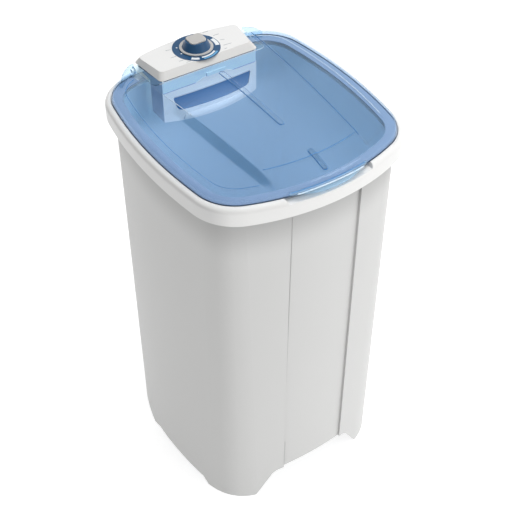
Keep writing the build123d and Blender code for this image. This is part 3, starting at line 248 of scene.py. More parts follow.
def plastic(name, colour, roughness, shade=None, sides=None, painted_glow=0.0, metallic=0.0):
    """Moulded plastic, or metal: faint colour drift, uneven gloss and a fine surface grain.

    Shade is (high, low, share) for painted shade that deepens upwards, and sides is (axis, colour) for
    painted shade on turned faces. With a glow, the piece shines faintly in its own colour, as painted
    light.
    """
    material, tree, shader = new_material(name, colour, roughness)
    link = tree.links.new
    shader.inputs["Metallic"].default_value = metallic
    place = add_node(tree, "TexCoord")
    cloud = add_node(tree, "TexNoise", {"Scale": DRIFT_SCALE})
    tint = add_node(tree, "Mix", {"A": (*[c * DRIFT_DARK for c in colour], 1),
                                  "B": (*[min(c * DRIFT_LIGHT, 1) for c in colour], 1)}, data_type="RGBA")
    link(place.outputs["Object"], cloud.inputs["Vector"])
    link(cloud.outputs["Fac"], tint.inputs["Factor"])
    paint = tint.outputs["Result"]
    # Painted shade that deepens upwards to the high level
    if shade:
        paint = painted_shade_upwards(tree, place, paint, shade)
    # Painted shade on faces turned away from flat or sideways
    if sides:
        paint = painted_side_shade(tree, paint, sides)
    link(paint, shader.inputs["Base Color"])
    # Painted light: a faint glow in the paint's own colour
    if painted_glow:
        link(paint, shader.inputs["Emission Color"])
        shader.inputs["Emission Strength"].default_value = painted_glow
    gloss = add_node(tree, "MapRange", {"To Min": roughness - GLOSS_SPREAD,
                                        "To Max": roughness + GLOSS_SPREAD})
    link(cloud.outputs["Fac"], gloss.inputs["Value"])
    link(gloss.outputs["Result"], shader.inputs["Roughness"])
    speckle = add_node(tree, "TexNoise", {"Scale": GRAIN_SCALE})
    relief = add_node(tree, "Bump", {"Strength": GRAIN_STRENGTH, "Distance": GRAIN_DEPTH})
    link(place.outputs["Object"], speckle.inputs["Vector"])
    link(speckle.outputs["Fac"], relief.inputs["Height"])
    link(relief.outputs["Normal"], shader.inputs["Normal"])
    return material


def haze_and_light_share(tree, right, left):
    """How cloudy a clear sheet is: from the left share to the right one, fading at the back. The extra
    cloud on the left is painted light that lightens that side.
    """
    place = add_node(tree, "TexCoord")
    split = add_node(tree, "SeparateXYZ")
    share = add_node(tree, "MapRange", {"From Min": HAZE_RIGHT, "From Max": HAZE_LEFT,
                                        "To Min": right, "To Max": left}, interpolation_type="SMOOTHSTEP")
    clearer = add_node(tree, "MapRange", {"From Min": HAZE_FRONT, "From Max": HAZE_BACK,
                                          "To Min": 1.0, "To Max": HAZE_BACK_SHARE},
                       interpolation_type="SMOOTHSTEP")
    amount = add_node(tree, "Math", operation="MULTIPLY")
    tree.links.new(place.outputs["Object"], split.inputs["Vector"])
    tree.links.new(split.outputs["X"], share.inputs["Value"])
    tree.links.new(split.outputs["Y"], clearer.inputs["Value"])
    tree.links.new(share.outputs["Result"], amount.inputs[0])
    tree.links.new(clearer.outputs["Result"], amount.inputs[1])
    return amount.outputs["Value"]


def clear_plastic(name, tint, haze_and_light, roughness=0.05):
    """Clear tinted sheet: seen straight through, with a polished skin that mirrors more at a slant.

    The haze is (right, left, colour): the shares of a cloudy colour at the lid's two sides, more on the
    left as painted light.
    """
    material, tree, shader = new_material(name, (0.9, 0.95, 1.0), roughness)
    link = tree.links.new
    shader.inputs["Metallic"].default_value = 1.0
    right, left, colour = haze_and_light
    film = add_node(tree, "BsdfTransparent", {"Color": (*tint, 1)})
    # A cloudy share of the sheet: real cloudiness, with more of it on the left as painted light
    cloud = add_node(tree, "BsdfDiffuse", {"Color": (*colour, 1)})
    veil = add_node(tree, "MixShader")
    link(haze_and_light_share(tree, right, left), veil.inputs["Fac"])
    link(film.outputs["BSDF"], veil.inputs[1])
    link(cloud.outputs["BSDF"], veil.inputs[2])
    slant = add_node(tree, "LayerWeight", {"Blend": 0.5})
    steep = add_node(tree, "Math", {1: MIRROR_POWER}, operation="POWER")
    mirror = add_node(tree, "MapRange", {"To Min": MIRROR_LEAST, "To Max": MIRROR_MOST})
    mix = add_node(tree, "MixShader")
    link(slant.outputs["Facing"], steep.inputs[0])
    link(steep.outputs["Value"], mirror.inputs["Value"])
    link(mirror.outputs["Result"], mix.inputs["Fac"])
    link(veil.outputs["Shader"], mix.inputs[1])
    link(shader.outputs["BSDF"], mix.inputs[2])
    link(mix.outputs["Shader"], tree.nodes["Material Output"].inputs["Surface"])
    return material


# Painted shade on the housings' sideways faces
HOUSING_SIDE_SHADE = ("X", (0.25, 0.33, 0.46))
PLASTICS = {
    # Cabinet: painted shade, darker up to just under the rim, and darker on its sideways faces
    "cabinet_white": dict(colour=(0.65, 0.65, 0.642), roughness=0.42, shade=(0.849, 0.735, 0.72),
                          sides=("X", (0.90, 0.90, 0.90))),
    # Frame: painted shade on its sideways faces
    "frame_white": dict(colour=(0.85, 0.85, 0.84), roughness=0.32, sides=("X", (0.80, 0.80, 0.805))),
    "tub_white": dict(colour=(0.71, 0.885, 0.995), roughness=0.35),
    # Housings: a faint glow as painted light that brightens them under the lid
    "housing_blue": dict(colour=(0.76, 0.93, 1.0), roughness=0.3, sides=HOUSING_SIDE_SHADE, painted_glow=0.18),
    "housing_lilac": dict(colour=(0.97, 0.965, 0.965), roughness=0.3, sides=HOUSING_SIDE_SHADE, painted_glow=0.17),
    # Panel: painted shade on its bevel, the faces that don't lie flat
    "panel_white": dict(colour=(0.80, 0.80, 0.795), roughness=0.35, sides=("Z", (0.86, 0.845, 0.825))),
    "dial_blue": dict(colour=(0.012, 0.075, 0.18), roughness=0.30),
    "drawer_blue": dict(colour=(0.002, 0.20, 0.48), roughness=0.6),
    "mesh_white": dict(colour=(0.80, 0.82, 0.84), roughness=0.6),
    "knob_silver": dict(colour=(0.50, 0.49, 0.475), roughness=0.35),
    "black_plastic": dict(colour=(0.03, 0.03, 0.032), roughness=0.5),
    "black_rubber": dict(colour=(0.02, 0.02, 0.02), roughness=0.8),
    "steel": dict(colour=(0.55, 0.55, 0.56), roughness=0.35, metallic=1.0),
    "galvanised": dict(colour=(0.52, 0.54, 0.55), roughness=0.45, metallic=1.0),
    "bronze": dict(colour=(0.45, 0.28, 0.12), roughness=0.4, metallic=1.0),
    "cast_alloy": dict(colour=(0.55, 0.56, 0.57), roughness=0.45, metallic=1.0),
    "motor_grey": dict(colour=(0.10, 0.11, 0.12), roughness=0.4),
    "lamination": dict(colour=(0.2, 0.2, 0.21), roughness=0.5, metallic=1.0),
    "capacitor_white": dict(colour=(0.78, 0.78, 0.76), roughness=0.4),
    "line_blue": dict(colour=(0.06, 0.24, 0.55), roughness=0.25),
    # Painted highlights on the lid's edges, the lip and the ears
    "highlight_white": dict(colour=(0.75, 0.88, 1.0), roughness=0.2),
    # Painted shade under the lid's shoulder
    "shoulder_shade_blue": dict(colour=(0.38, 0.46, 0.58), roughness=0.45),
    "shadow_navy": dict(colour=(0.05, 0.09, 0.16), roughness=0.5),
    # Painted shade line down the cabinet's front
    "shade_line_grey": dict(colour=(0.47, 0.47, 0.465), roughness=0.5),
    "print_grey": dict(colour=(0.30, 0.33, 0.36), roughness=0.5),
    # Print on the dial, and the painted highlight on the window's bevel
    "mark_and_highlight_white": dict(colour=(0.80, 0.84, 0.86), roughness=0.4),
    "mark_blue": dict(colour=(0.12, 0.36, 0.62), roughness=0.4),
}
CLEAR_PLASTICS = {
    # clear_blue: cloudier on the left, as painted light
    "clear_blue": dict(tint=(0.88, 0.94, 1.0), haze_and_light=(0.05, 0.15, (0.50, 0.68, 0.95))),
    # clear_shaded: a deeper blue copy of the sheet, as painted shade
    "clear_shaded": dict(tint=(0.84, 0.905, 0.965), haze_and_light=(0.07, 0.12, (0.36, 0.52, 0.76))),
    # lip_clear: milky clear plastic whose pale cloud is partly a painted highlight on the lip and the ears
    "lip_clear": dict(tint=(0.84, 0.94, 1.0), haze_and_light=(0.22, 0.22, (0.60, 0.82, 1.0)), roughness=0.10),
}


def paint_nodes():
    """Give every solid the material of its slot in the record."""
    for part in frame["record"]["subparts"]:
        node = nodes[part["node"]]
        node.data.materials.clear()
        node.data.materials.append(materials[part["material_slot"]])


# The frame's outline: eight tangent arcs, which the lid follows at an inset
frame_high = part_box("top_frame")[1]
HALF_W = frame_high.x
HALF_D = frame_high.y
CORNER = 0.100
BOW_SIDE = 0.012
BOW_FRONT = 0.0235
BOW_BACK = 0.0135


def bow_arc(chord, sagitta):
    """Radius and half angle of the arc that bows by a sagitta over a chord."""
    radius = (chord ** 2 / 4 + sagitta ** 2) / (2 * sagitta)
    return radius, math.asin(chord / 2 / radius)


def outline_arcs():
    """Centre, radius, start angle, sweep and corner flag of each arc, anticlockwise."""
    core_x = HALF_W - CORNER - BOW_SIDE
    front = CORNER + BOW_FRONT - HALF_D
    back = HALF_D - CORNER - BOW_BACK
    side_r, side_a = bow_arc(back - front, BOW_SIDE)
    front_r, front_a = bow_arc(2 * core_x, BOW_FRONT)
    back_r, back_a = bow_arc(2 * core_x, BOW_BACK)
    side_x = core_x + BOW_SIDE - side_r
    middle = (front + back) / 2
    turn = math.pi / 2
    return [
        ((side_x, middle), side_r + CORNER, -side_a, 2 * side_a, False),
        ((core_x, back), CORNER, side_a, turn - back_a - side_a, True),
        ((0, back + BOW_BACK - back_r), back_r + CORNER, turn - back_a, 2 * back_a, False),
        ((-core_x, back), CORNER, turn + back_a, turn - back_a - side_a, True),
        ((-side_x, middle), side_r + CORNER, 2 * turn - side_a, 2 * side_a, False),
        ((-core_x, front), CORNER, 2 * turn + side_a, turn - side_a - front_a, True),
        ((0, front - BOW_FRONT + front_r), front_r + CORNER, 3 * turn - front_a, 2 * front_a, False),
        ((core_x, front), CORNER, 3 * turn + front_a, turn - front_a - side_a, True),
    ]


ARCS = outline_arcs()
FRONT_ARC = ARCS[6]


def front_y(x, inset):
    """The frame's front line at x, moved inwards by inset."""
    (_, centre_y), radius, _, _, _ = FRONT_ARC
    return centre_y - math.sqrt((radius - inset) ** 2 - x * x)


def outline_ring(inset, step):
    """Points along the outline moved inwards by inset, about one step apart."""
    ring = []
    for (cx, cy), radius, start, sweep, _ in ARCS:
        count = max(2, round(sweep * (radius - inset) / step))
        for k in range(count):
            angle = start + sweep * k / count
            ring.append((cx + (radius - inset) * math.cos(angle), cy + (radius - inset) * math.sin(angle)))
    return ring


def inset_of(x, y):
    """How far points lie inside the frame's outline."""
    x, y = np.asarray(x, float), np.asarray(y, float)
    depth = np.full(x.shape, np.inf)
    for (cx, cy), radius, _, _, is_corner in ARCS:
        if not is_corner:
            depth = np.minimum(depth, radius - np.hypot(x - cx, y - cy))
    for (cx, cy), radius, start, sweep, is_corner in ARCS:
        if is_corner:
            angle = (np.arctan2(y - cy, x - cx) - start) % (2 * math.pi)
            depth = np.where(angle <= sweep, radius - np.hypot(x - cx, y - cy), depth)
    return depth


def open_part(ring, flags):
    """The unbroken part of a closed ring whose flags are set, in order."""
    start = next(k for k in range(len(ring)) if flags[k] and not flags[k - 1])
    part = []
    for k in range(len(ring)):
        j = (start + k) % len(ring)
        if not flags[j]:
            break
        part.append(ring[j])
    return part


# Lid: one clear moulding, described by its height over the plan
LID_INSET = 0.013
LID_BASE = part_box("lid")[0].z
LID_CREST = 0.900
LID_CREST_INSET = 0.0226
LID_WALL = 0.0025
LID_REACH = 0.262
SHOULDER_POWER = 2.2
PANEL_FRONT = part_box("control_panel")[0].y
CUT_HALF = 0.130
CUT_FRONT = PANEL_FRONT - 0.0035
CUT_ROUND = 0.012
CUT_END = 0.30

# The raised middle: its half width, its height, its walls and how softly they meet
MIDDLE_FRONT = -0.222
MIDDLE_BACK = 0.190
HALF_FRONT = 0.101
HALF_BACK = 0.138
CENTRE_STATIONS = [-LID_REACH, -0.196, -0.108, -0.020, 0.066, 0.152, 0.228, LID_REACH]
CENTRE_HEIGHTS = [0.905, 0.9140, 0.9171, 0.9180, 0.9160, 0.9100, 0.9040, 0.9010]
CENTRE_SAMPLES = 200
CENTRE_SOFTNESS = 20
CROWN = 0.0015
WALL_RUN = 0.012
WALL_DROP = 0.020
FRONT_LIFT = 0.003
FRONT_LIFT_RUN = 0.011
FRONT_START = 0.024
FRONT_SLOPE = 0.26
BACK_TOP = 0.904
BACK_START = 0.226
BACK_SLOPE = 2.2
SOFT_FRONT = 0.003
SOFT_SIDE = 0.0016
SOFT_BACK = 0.003
SOFT_FOOT = 0.0012

# The two side hollows and the ribs
HOLLOW_INSET = 0.041
HOLLOW_RUN = 0.005
HOLLOW_FOOT = 0.004
HOLLOW_DEPTH = 0.0035
HOLLOW_FADE = 0.0025
HOLLOW_FADE_FROM = -0.20
HOLLOW_FADE_RUN = 0.40
RIBS = [(-0.098, 0.118), (-0.235, -0.181)]
RIB_WIDTH = 0.011
RIB_HEIGHT = 0.0016
RIB_FLANK = 0.0015

# Lines in plan that the lid's mesh follows: insets and distances in millimetres, levels of y in metres
RING_INSETS = (13.0, 13.15, 13.6, 14.4, 15.6, 17.2, 19.2, 21.2, 23.0, 25.0, 28.0, 41.0, 43.0, 45.0, 47.0)
WALL_OFFSETS = (-3.0, -1.5, -0.7, 0.0, 0.7, 1.5, 3.0, 6.0, 9.0, 10.5, 11.3, 12.0, 12.7, 13.5, 15.0)
RIB_OFFSETS = (-1.0, -0.5, 0.0, 0.5, 1.0)
CROSS_LEVELS = (0.218, 0.222, 0.226, 0.230, 0.234, -0.200, -0.196, -0.192)
CROSS_HALF = 0.24
RING_STEP = 4 * MM
LINE_STEP = 5 * MM
GRID_STEP = 6 * MM
GRID_CLEAR = 2.4 * MM
SLOPE_STEP = 0.3 * MM
RIB_TURNS = 24

# Faces with painted shade in a deeper blue: between these distances beyond the raised middle's edge
DEEP_FROM = -0.0004
DEEP_TO = 0.0115
DEEP_INSET = 0.036
DEEP_BACK = 0.070


def smooth_max(a, b, soft):
    """The larger of two values, rounded where they cross."""
    return 0.5 * (a + b + np.sqrt((a - b) ** 2 + soft ** 2))


def smooth_min(a, b, soft):
    """The smaller of two values, rounded where they cross."""
    return 0.5 * (a + b - np.sqrt((a - b) ** 2 + soft ** 2))


def ease(t):
    """A smooth rise from 0 to 1 as t goes from 0 to 1."""
    t = np.clip(t, 0, 1)
    return t * t * (3 - 2 * t)


def shoulder(inset):
    """Height of the lid's outer band, rising from its edge to the crest."""
    t = np.clip((inset - LID_INSET) / (LID_CREST_INSET - LID_INSET), 0, 1)
    rise = (1 - (1 - t) ** SHOULDER_POWER) ** (1 / SHOULDER_POWER)
    return LID_BASE + (LID_CREST - LID_BASE) * rise


def centre_half(y):
    """Half width of the raised middle at its top edge."""
    return HALF_FRONT + (y - MIDDLE_FRONT) * (HALF_BACK - HALF_FRONT) / (MIDDLE_BACK - MIDDLE_FRONT)


def centre_top(y):
    """Height along the middle of the lid."""
    fine = np.linspace(CENTRE_STATIONS[0], CENTRE_STATIONS[-1], CENTRE_SAMPLES)
    rough = np.interp(fine, CENTRE_STATIONS, CENTRE_HEIGHTS)
    kernel = np.hanning(2 * CENTRE_SOFTNESS + 1)
    padded = np.pad(rough, CENTRE_SOFTNESS, mode="reflect", reflect_type="odd")
    return np.interp(y, fine, np.convolve(padded, kernel / kernel.sum(), mode="valid"))


def slot_distance(x, y, span, width):
    """Distance inside a round-ended slot on the middle line, negative outside."""
    half = width / 2
    along = np.clip(y, span[0] + half, span[1] - half)
    return half - np.hypot(x, y - along)


def lid_height(x, y):
    """Height of the lid's upper face: band and hollows, the raised middle, then the ribs."""
    inset = inset_of(x, y)
    ax = np.abs(x)
    band = shoulder(inset)
    half = centre_half(y)
    foot = half + WALL_RUN
    depth = HOLLOW_DEPTH - HOLLOW_FADE * ease((y - HOLLOW_FADE_FROM) / HOLLOW_FADE_RUN)
    hollow = ease((inset - HOLLOW_INSET) / HOLLOW_RUN) * ease((ax - foot + HOLLOW_FOOT) / HOLLOW_FOOT)
    base = band - depth * hollow
    top = centre_top(y) - CROWN * (x / half) ** 2
    front = (band + FRONT_LIFT * ease((inset - LID_INSET) / FRONT_LIFT_RUN)
             + FRONT_SLOPE * np.maximum(inset - FRONT_START, 0))
    side = centre_top(y) - CROWN - (ax - half) * (WALL_DROP / WALL_RUN)
    back = BACK_TOP - (y - BACK_START) * BACK_SLOPE
    raised = smooth_min(top, front, SOFT_FRONT)
    raised = smooth_min(raised, side, SOFT_SIDE)
    raised = smooth_min(raised, back, SOFT_BACK)
    height = smooth_max(base, raised, SOFT_FOOT)
    height = np.where(inset < LID_CREST_INSET, np.minimum(height, band + FRONT_LIFT), height)
    for span in RIBS:
        height = height + RIB_HEIGHT * ease(slot_distance(x, y, span, RIB_WIDTH) / RIB_FLANK + 0.5)
    return np.maximum(height, band * (inset < LID_CREST_INSET))


def resample(points, step):
    """Points at about one step along a polyline."""
    found = [points[0]]
    for start, end in zip(points, points[1:]):
        length = math.dist(start, end)
        count = max(1, round(length / step))
        for k in range(1, count + 1):
            found.append(tuple(start[i] + (end[i] - start[i]) * k / count for i in (0, 1)))
    return found


def cut_line(step):
    """The U-shaped cut round the control panel, from back left to back right."""
    corner = []
    for k in range(9):
        angle = math.pi + math.pi / 2 * k / 8
        corner.append((CUT_ROUND * math.cos(angle), CUT_ROUND * math.sin(angle)))
    left = [(-CUT_HALF + CUT_ROUND + dx, CUT_FRONT + CUT_ROUND + dy) for dx, dy in corner]
    right = [(-x, y) for x, y in reversed(left)]
    path = [(-CUT_HALF, CUT_END)] + left + right + [(CUT_HALF, CUT_END)]
    return resample(path, step)


def rib_outline(span, half, count, first=0):
    """A closed line of points round a rib with rounded ends, from the given point of its turn."""
    loop = []
    for k in range(count):
        angle = 2 * math.pi * (k + first) / count
        end = span[1] - RIB_WIDTH / 2 if math.sin(angle) >= 0 else span[0] + RIB_WIDTH / 2
        loop.append((half * math.cos(angle), end + half * math.sin(angle)))
    return loop + loop[:1]


def inside_lid(x, y):
    """Whether points lie inside the lid's edge and outside its cut."""
    straight = (np.abs(x) < CUT_HALF) & (y > CUT_FRONT)
    cx, cy = CUT_HALF - CUT_ROUND, CUT_FRONT + CUT_ROUND
    in_corner = (np.abs(x) > cx) & (y < cy)
    outside_round = np.hypot(np.abs(x) - cx, y - cy) > CUT_ROUND
    cut = straight & ~(in_corner & outside_round)
    return (inset_of(x, y) >= LID_INSET - 1e-7) & ~cut


def lid_lines():
    """Every line in plan that the lid's mesh has to follow, as (points, closed)."""
    lines = []
    for inset in RING_INSETS:
        lines.append((outline_ring(inset * MM, RING_STEP), True))
    for offset in WALL_OFFSETS:
        for side in (-1, 1):
            ends = [(side * (centre_half(y) + offset * MM), y) for y in (-LID_REACH, LID_REACH)]
            lines.append((resample(ends, LINE_STEP), False))
    for span in RIBS:
        for offset in RIB_OFFSETS:
            loop = rib_outline(span, RIB_WIDTH / 2 + offset * MM, RIB_TURNS)
            lines.append((resample(loop, LINE_STEP)[:-1], True))
    for y in CROSS_LEVELS:
        lines.append((resample([(-CROSS_HALF, y), (CROSS_HALF, y)], LINE_STEP), False))
    lines.append((cut_line(RING_STEP), False))
    return lines


def fill_points(taken, spacing, cell):
    """A staggered grid of points that stays a cell clear of the points already taken."""
    near = {(round(x / cell), round(y / cell)) for x, y in taken}
    points = []
    for row in range(int(2 * HALF_D / spacing) + 1):
        y = -HALF_D + row * spacing
        shift = spacing / 2 if row % 2 else 0
        for column in range(int(2 * HALF_W / spacing) + 1):
            x = -HALF_W + column * spacing + shift
            key = (round(x / cell), round(y / cell))
            if not any((key[0] + i, key[1] + j) in near for i in (-1, 0, 1) for j in (-1, 0, 1)):
                points.append((x, y))
    return points


def lid_plan():
    """The lid's flat mesh in plan: its points, and its triangles as point numbers."""
    points, edges = [], []
    for line, closed in lid_lines():
        start = len(points)
        points.extend(line)
        count = len(line)
        edges.extend((start + k, start + k + 1) for k in range(count - 1))
        if closed:
            edges.append((start + count - 1, start))
    points.extend(fill_points(points, GRID_STEP, GRID_CLEAR))
    flat, _, triangles, _, _, _ = delaunay_2d_cdt([Vector(p) for p in points], edges, [], 0, 1e-6)
    plan = np.array([tuple(p) for p in flat])
    corners = np.array([list(t) for t in triangles])
    middles = plan[corners].mean(axis=1)
    corners = corners[inside_lid(middles[:, 0], middles[:, 1])]
    used, corners = np.unique(corners, return_inverse=True)
    return plan[used], corners.reshape(-1, 3)


def lid_normals(x, y):
    """Unit normals of the lid's upper face."""
    slope_x = (lid_height(x + SLOPE_STEP, y) - lid_height(x - SLOPE_STEP, y)) / (2 * SLOPE_STEP)
    slope_y = (lid_height(x, y + SLOPE_STEP) - lid_height(x, y - SLOPE_STEP)) / (2 * SLOPE_STEP)
    normals = np.stack([-slope_x, -slope_y, np.ones_like(x)], axis=1)
    return normals / np.linalg.norm(normals, axis=1)[:, None]


def shell_faces(corners, count):
    """An upper skin of triangles, its copy below, and the wall along their open edges."""
    faces = [tuple(t) for t in corners]
    faces += [(c + count, b + count, a + count) for a, b, c in corners]
    edges = dict.fromkeys(edge for a, b, c in corners for edge in ((a, b), (b, c), (c, a)))
    faces += [(b, a, a + count, b + count) for a, b in edges if (b, a) not in edges]
    return faces


def has_painted_shade(x, y):
    """Where the lid has painted shade in a deeper blue: the raised middle's side walls and the short rib.
    """
    beyond = np.abs(x) - centre_half(y)
    walls = (beyond > DEEP_FROM) & (beyond < DEEP_TO) & (inset_of(x, y) > DEEP_INSET) & (y < DEEP_BACK)
    return walls | (slot_distance(x, y, RIBS[1], RIB_WIDTH) > 0)


def make_lid():
    """The lid's clear shell, which stands for the solid lid."""
    plan, corners = lid_plan()
    x, y = plan[:, 0], plan[:, 1]
    top = np.stack([x, y, lid_height(x, y)], axis=1)
    under = top - lid_normals(x, y) * LID_WALL
    under[:, 2] = np.maximum(under[:, 2], LID_BASE)
    faces = shell_faces(corners, len(top))
    lid = mesh_object("lid_shell", np.concatenate([top, under]), faces, materials["clear_blue"])
    # Painted shade: the raised middle's walls and the short rib take the deeper blue copy
    lid.data.materials.append(materials["clear_shaded"])
    middles = plan[corners].mean(axis=1)
    deep = has_painted_shade(middles[:, 0], middles[:, 1])
    chosen = np.zeros(len(faces), dtype=np.int32)
    chosen[:2 * len(corners)] = np.concatenate([deep, deep])
    lid.data.polygons.foreach_set("material_index", chosen)
    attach(lid, "lid")
    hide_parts("lid")


# Detail pieces: each is a skin over equal rows of points
def add_piece(name, rows, body, material, smooth=True):
    """A skin over closed rows of points, capped at both ends, that rides on a body."""
    wide, count = len(rows[0]), len(rows)
    faces = [(i * wide + j, i * wide + (j + 1) % wide, (i + 1) * wide + (j + 1) % wide, (i + 1) * wide + j)
             for i in range(count - 1) for j in range(wide)]
    faces += [tuple(range(wide)), tuple(range((count - 1) * wide, count * wide))]
    points = [point for row in rows for point in row]
    piece = mesh_object(name, points, faces, materials[material], smooth)
    work = bmesh.new()
    work.from_mesh(piece.data)
    bmesh.ops.recalc_face_normals(work, faces=work.faces)
    work.to_mesh(piece.data)
    work.free()
    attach(piece, body)


def across(path, k):
    """The unit vector square to a path at its point k, towards its left."""
    before, after = path[max(k - 1, 0)], path[min(k + 1, len(path) - 1)]
    run = math.dist(before, after)
    return -(after[1] - before[1]) / run, (after[0] - before[0]) / run


# Moulded lines on the lid, and white lines that are painted highlights
BEAD_SECTION = ((-1, 0), (-0.6, 0.8), (0, 1), (0.6, 0.8), (1, 0), (0, -1))
BEAD_SINK = 0.0001
SIDE_LINE_STEP = 0.003
RIGHT_LINE = (-0.190, 0.222)
LEFT_LINE = (0.020, 0.110)
FRONT_LINE_INSET = 0.0665
FRONT_LINE_HALF = 0.100
HOLLOW_LINE_STEP = 0.006
HOLLOW_LINE_LEFT = 0.0425
HOLLOW_LINE_RIGHT = 0.0405
RIB_LINE_TURNS = 28
RIB_LINE_STOP = CUT_FRONT - 0.001


def bead(name, path, width, height, material):
    """A thin rounded line that lies on the lid's upper face along a path in plan."""
    rows = []
    for k, (x, y) in enumerate(path):
        nx, ny = across(path, k)
        row = []
        for side, rise in BEAD_SECTION:
            px, py = x + nx * side * width / 2, y + ny * side * width / 2
            level = float(lid_height(np.array([px]), np.array([py]))[0])
            row.append((px, py, level - BEAD_SINK + rise * height))
        rows.append(row)
    add_piece(name, rows, "lid", material)


def hollow_line(name, inset, width, height, material, keep):
    """A line along part of a hollow's outer edge, where its points pass a test."""
    ring = outline_ring(inset, HOLLOW_LINE_STEP)
    bead(name, open_part(ring, [keep(x, y) for x, y in ring]), width, height, material)


def make_lid_lines():
    """The edges of the raised middle, of the hollows and of the ribs; the white ones are painted
    highlights.
    """
    right = resample([(centre_half(y), y) for y in RIGHT_LINE], SIDE_LINE_STEP)
    left = resample([(-centre_half(y), y) for y in LEFT_LINE], SIDE_LINE_STEP)
    front = [(x, front_y(x, FRONT_LINE_INSET)) for x in np.linspace(-FRONT_LINE_HALF, FRONT_LINE_HALF, 41)]
    bead("lid_line_right", right, 0.0016, 0.0011, "line_blue")
    bead("lid_highlight_left", left, 0.0010, 0.0007, "highlight_white")
    bead("lid_line_front", front, 0.0013, 0.0006, "line_blue")
    hollow_line("lid_line_hollow_left", HOLLOW_LINE_LEFT, 0.0013, 0.0006, "line_blue",
                lambda x, y: x < -0.115 and y < 0.205)
    hollow_line("lid_highlight_hollow_right", HOLLOW_LINE_RIGHT, 0.0016, 0.0005, "highlight_white",
                lambda x, y: x > 0.128 and y > -0.150 or x > 0.19 and y > -0.16)
    for index, span in enumerate(RIBS):
        loop = rib_outline(span, RIB_WIDTH / 2, RIB_LINE_TURNS, first=-RIB_LINE_TURNS // 4)
        path = resample([(x, min(y, RIB_LINE_STOP)) for x, y in loop], HOLLOW_LINE_STEP)
        bead(f"rib_line_{index}", path, 0.0008, 0.0005, "line_blue")


# Painted shade round the lid, a band under its shoulder and a dark line at its edge: name, outer inset,
# inner inset, low and high level, material
EDGE_SHADE_BANDS = (("lid_shoulder_shade", 0.0150, 0.0362, 0.8842, 0.8854, "shoulder_shade_blue"),
              ("lid_edge_shadow", 0.0128, 0.0138, 0.8838, 0.8864, "shadow_navy"))
EDGE_SHADE_STEP = 0.006
EDGE_SHADE_BACK = 0.15
EDGE_SHADE_GAP_HALF = 0.134


def flat_ring(outer, inner, low, high):
    """Square sections of a flat band round the frame's outline, between two insets and two levels."""
    rows = []
    for (cx, cy), radius, start, sweep, _ in ARCS:
        count = max(2, round(sweep * radius / EDGE_SHADE_STEP))
        for k in range(count):
            angle = start + sweep * k / count
            c, d = math.cos(angle), math.sin(angle)
            rows.append([(cx + (radius - inset) * c, cy + (radius - inset) * d, level)
                         for inset, level in ((outer, low), (outer, high), (inner, high), (inner, low))])
    return rows


def make_lid_edge_shade():
    """A blue-grey band under the lid's shoulder and a dark line at its edge, both painted shade, open at
    the control panel.
    """
    for name, outer, inner, low, high, material in EDGE_SHADE_BANDS:
        rows = flat_ring(outer, inner, low, high)
        flags = [row[0][1] < EDGE_SHADE_BACK or abs(row[0][0]) > EDGE_SHADE_GAP_HALF for row in rows]
        add_piece(name, open_part(rows, flags), "lid", material, smooth=False)


# The finger lip: insets and levels of its section in millimetres
LIP_HALF = 0.084
LIP_FULL = 0.020
LIP_TAPER = LIP_HALF - 0.012
LIP_SECTIONS = 48
LIP_PROFILE = [(14.0, 893.6), (12.0, 892.4), (8.8, 891.0), (6.9, 890.4), (5.6, 890.6),
               (3.2, 890.4), (0.6, 889.2), (-1.5, 887.6), (-2.3, 886.7), (-1.0, 886.4), (2.5, 887.2),
               (6.5, 887.7), (10.0, 888.6), (14.0, 891.2)]
LIP_ROOT = 13.0
LIP_PULL = 0.85
LIP_RISE = 0.12
# Its two fine lines, the white one a painted highlight: name, near and far inset, level, half length,
# material
LIP_LINES = (("lid_lip_glint", 8.6, 5.4, 890.9, 0.072, "highlight_white"),
             ("lid_lip_root", 12.9, 11.9, 893.1, 0.080, "line_blue"))
LIP_LINE_DROP = 0.0012
LIP_LINE_NEAR = 0.0005
LIP_LINE_FAR = 0.0003


def make_lip():
    """The finger lip: it curls out of the lid's front edge and narrows at both ends."""
    rows = []
    for k in range(LIP_SECTIONS + 1):
        x = LIP_HALF * (2 * k / LIP_SECTIONS - 1)
        narrow = LIP_PULL * float(ease((abs(x) - LIP_FULL) / LIP_TAPER))
        row = []
        for inset, level in LIP_PROFILE:
            pulled = inset + max(LIP_ROOT - inset, 0) * narrow
            raised = level + max(LIP_ROOT - inset, 0) * narrow * LIP_RISE
            row.append((x, front_y(x, pulled * MM), raised * MM))
        rows.append(row)
    # The lip's milky material is partly a painted highlight
    add_piece("lid_lip", rows, "lid", "lip_clear")
    for name, inner, outer, level, reach, material in LIP_LINES:
        rows = []
        for x in np.linspace(-reach, reach, 41):
            near, far = front_y(x, inner * MM), front_y(x, outer * MM)
            drop = LIP_LINE_DROP * (x / reach) ** 2
            rows.append([(x, near, level * MM - drop), (x, near, level * MM + LIP_LINE_NEAR - drop),
                         (x, far, level * MM + LIP_LINE_FAR - drop), (x, far, level * MM - drop)])
        add_piece(name, rows, "lid", material)


# The lid's rear ears: the crest line of each in plan, and the levels of its section
EARS = {
    "left": [(-0.1735, 0.2110), (-0.1630, 0.2210), (-0.1490, 0.2325), (-0.1370, 0.2395), (-0.1275, 0.2390)],
    "right": [(0.1650, 0.2175), (0.1530, 0.2250), (0.1390, 0.2340), (0.1280, 0.2395)],
}
EAR_STEP = 0.003
EAR_FOOT = 0.8875
EAR_INNER = 0.8950
EAR_LIFT = 0.0065
EAR_LIFT_SHARE = 0.40
EAR_CLIMB = 0.0045
# The section of the painted highlight along each ear's crest
EAR_HIGHLIGHT = ((-0.0004, -0.0004, 0), (0.0004, -0.0004, 0), (0.0004, 0.0004, 0), (-0.0004, 0.0004, 0.0006))


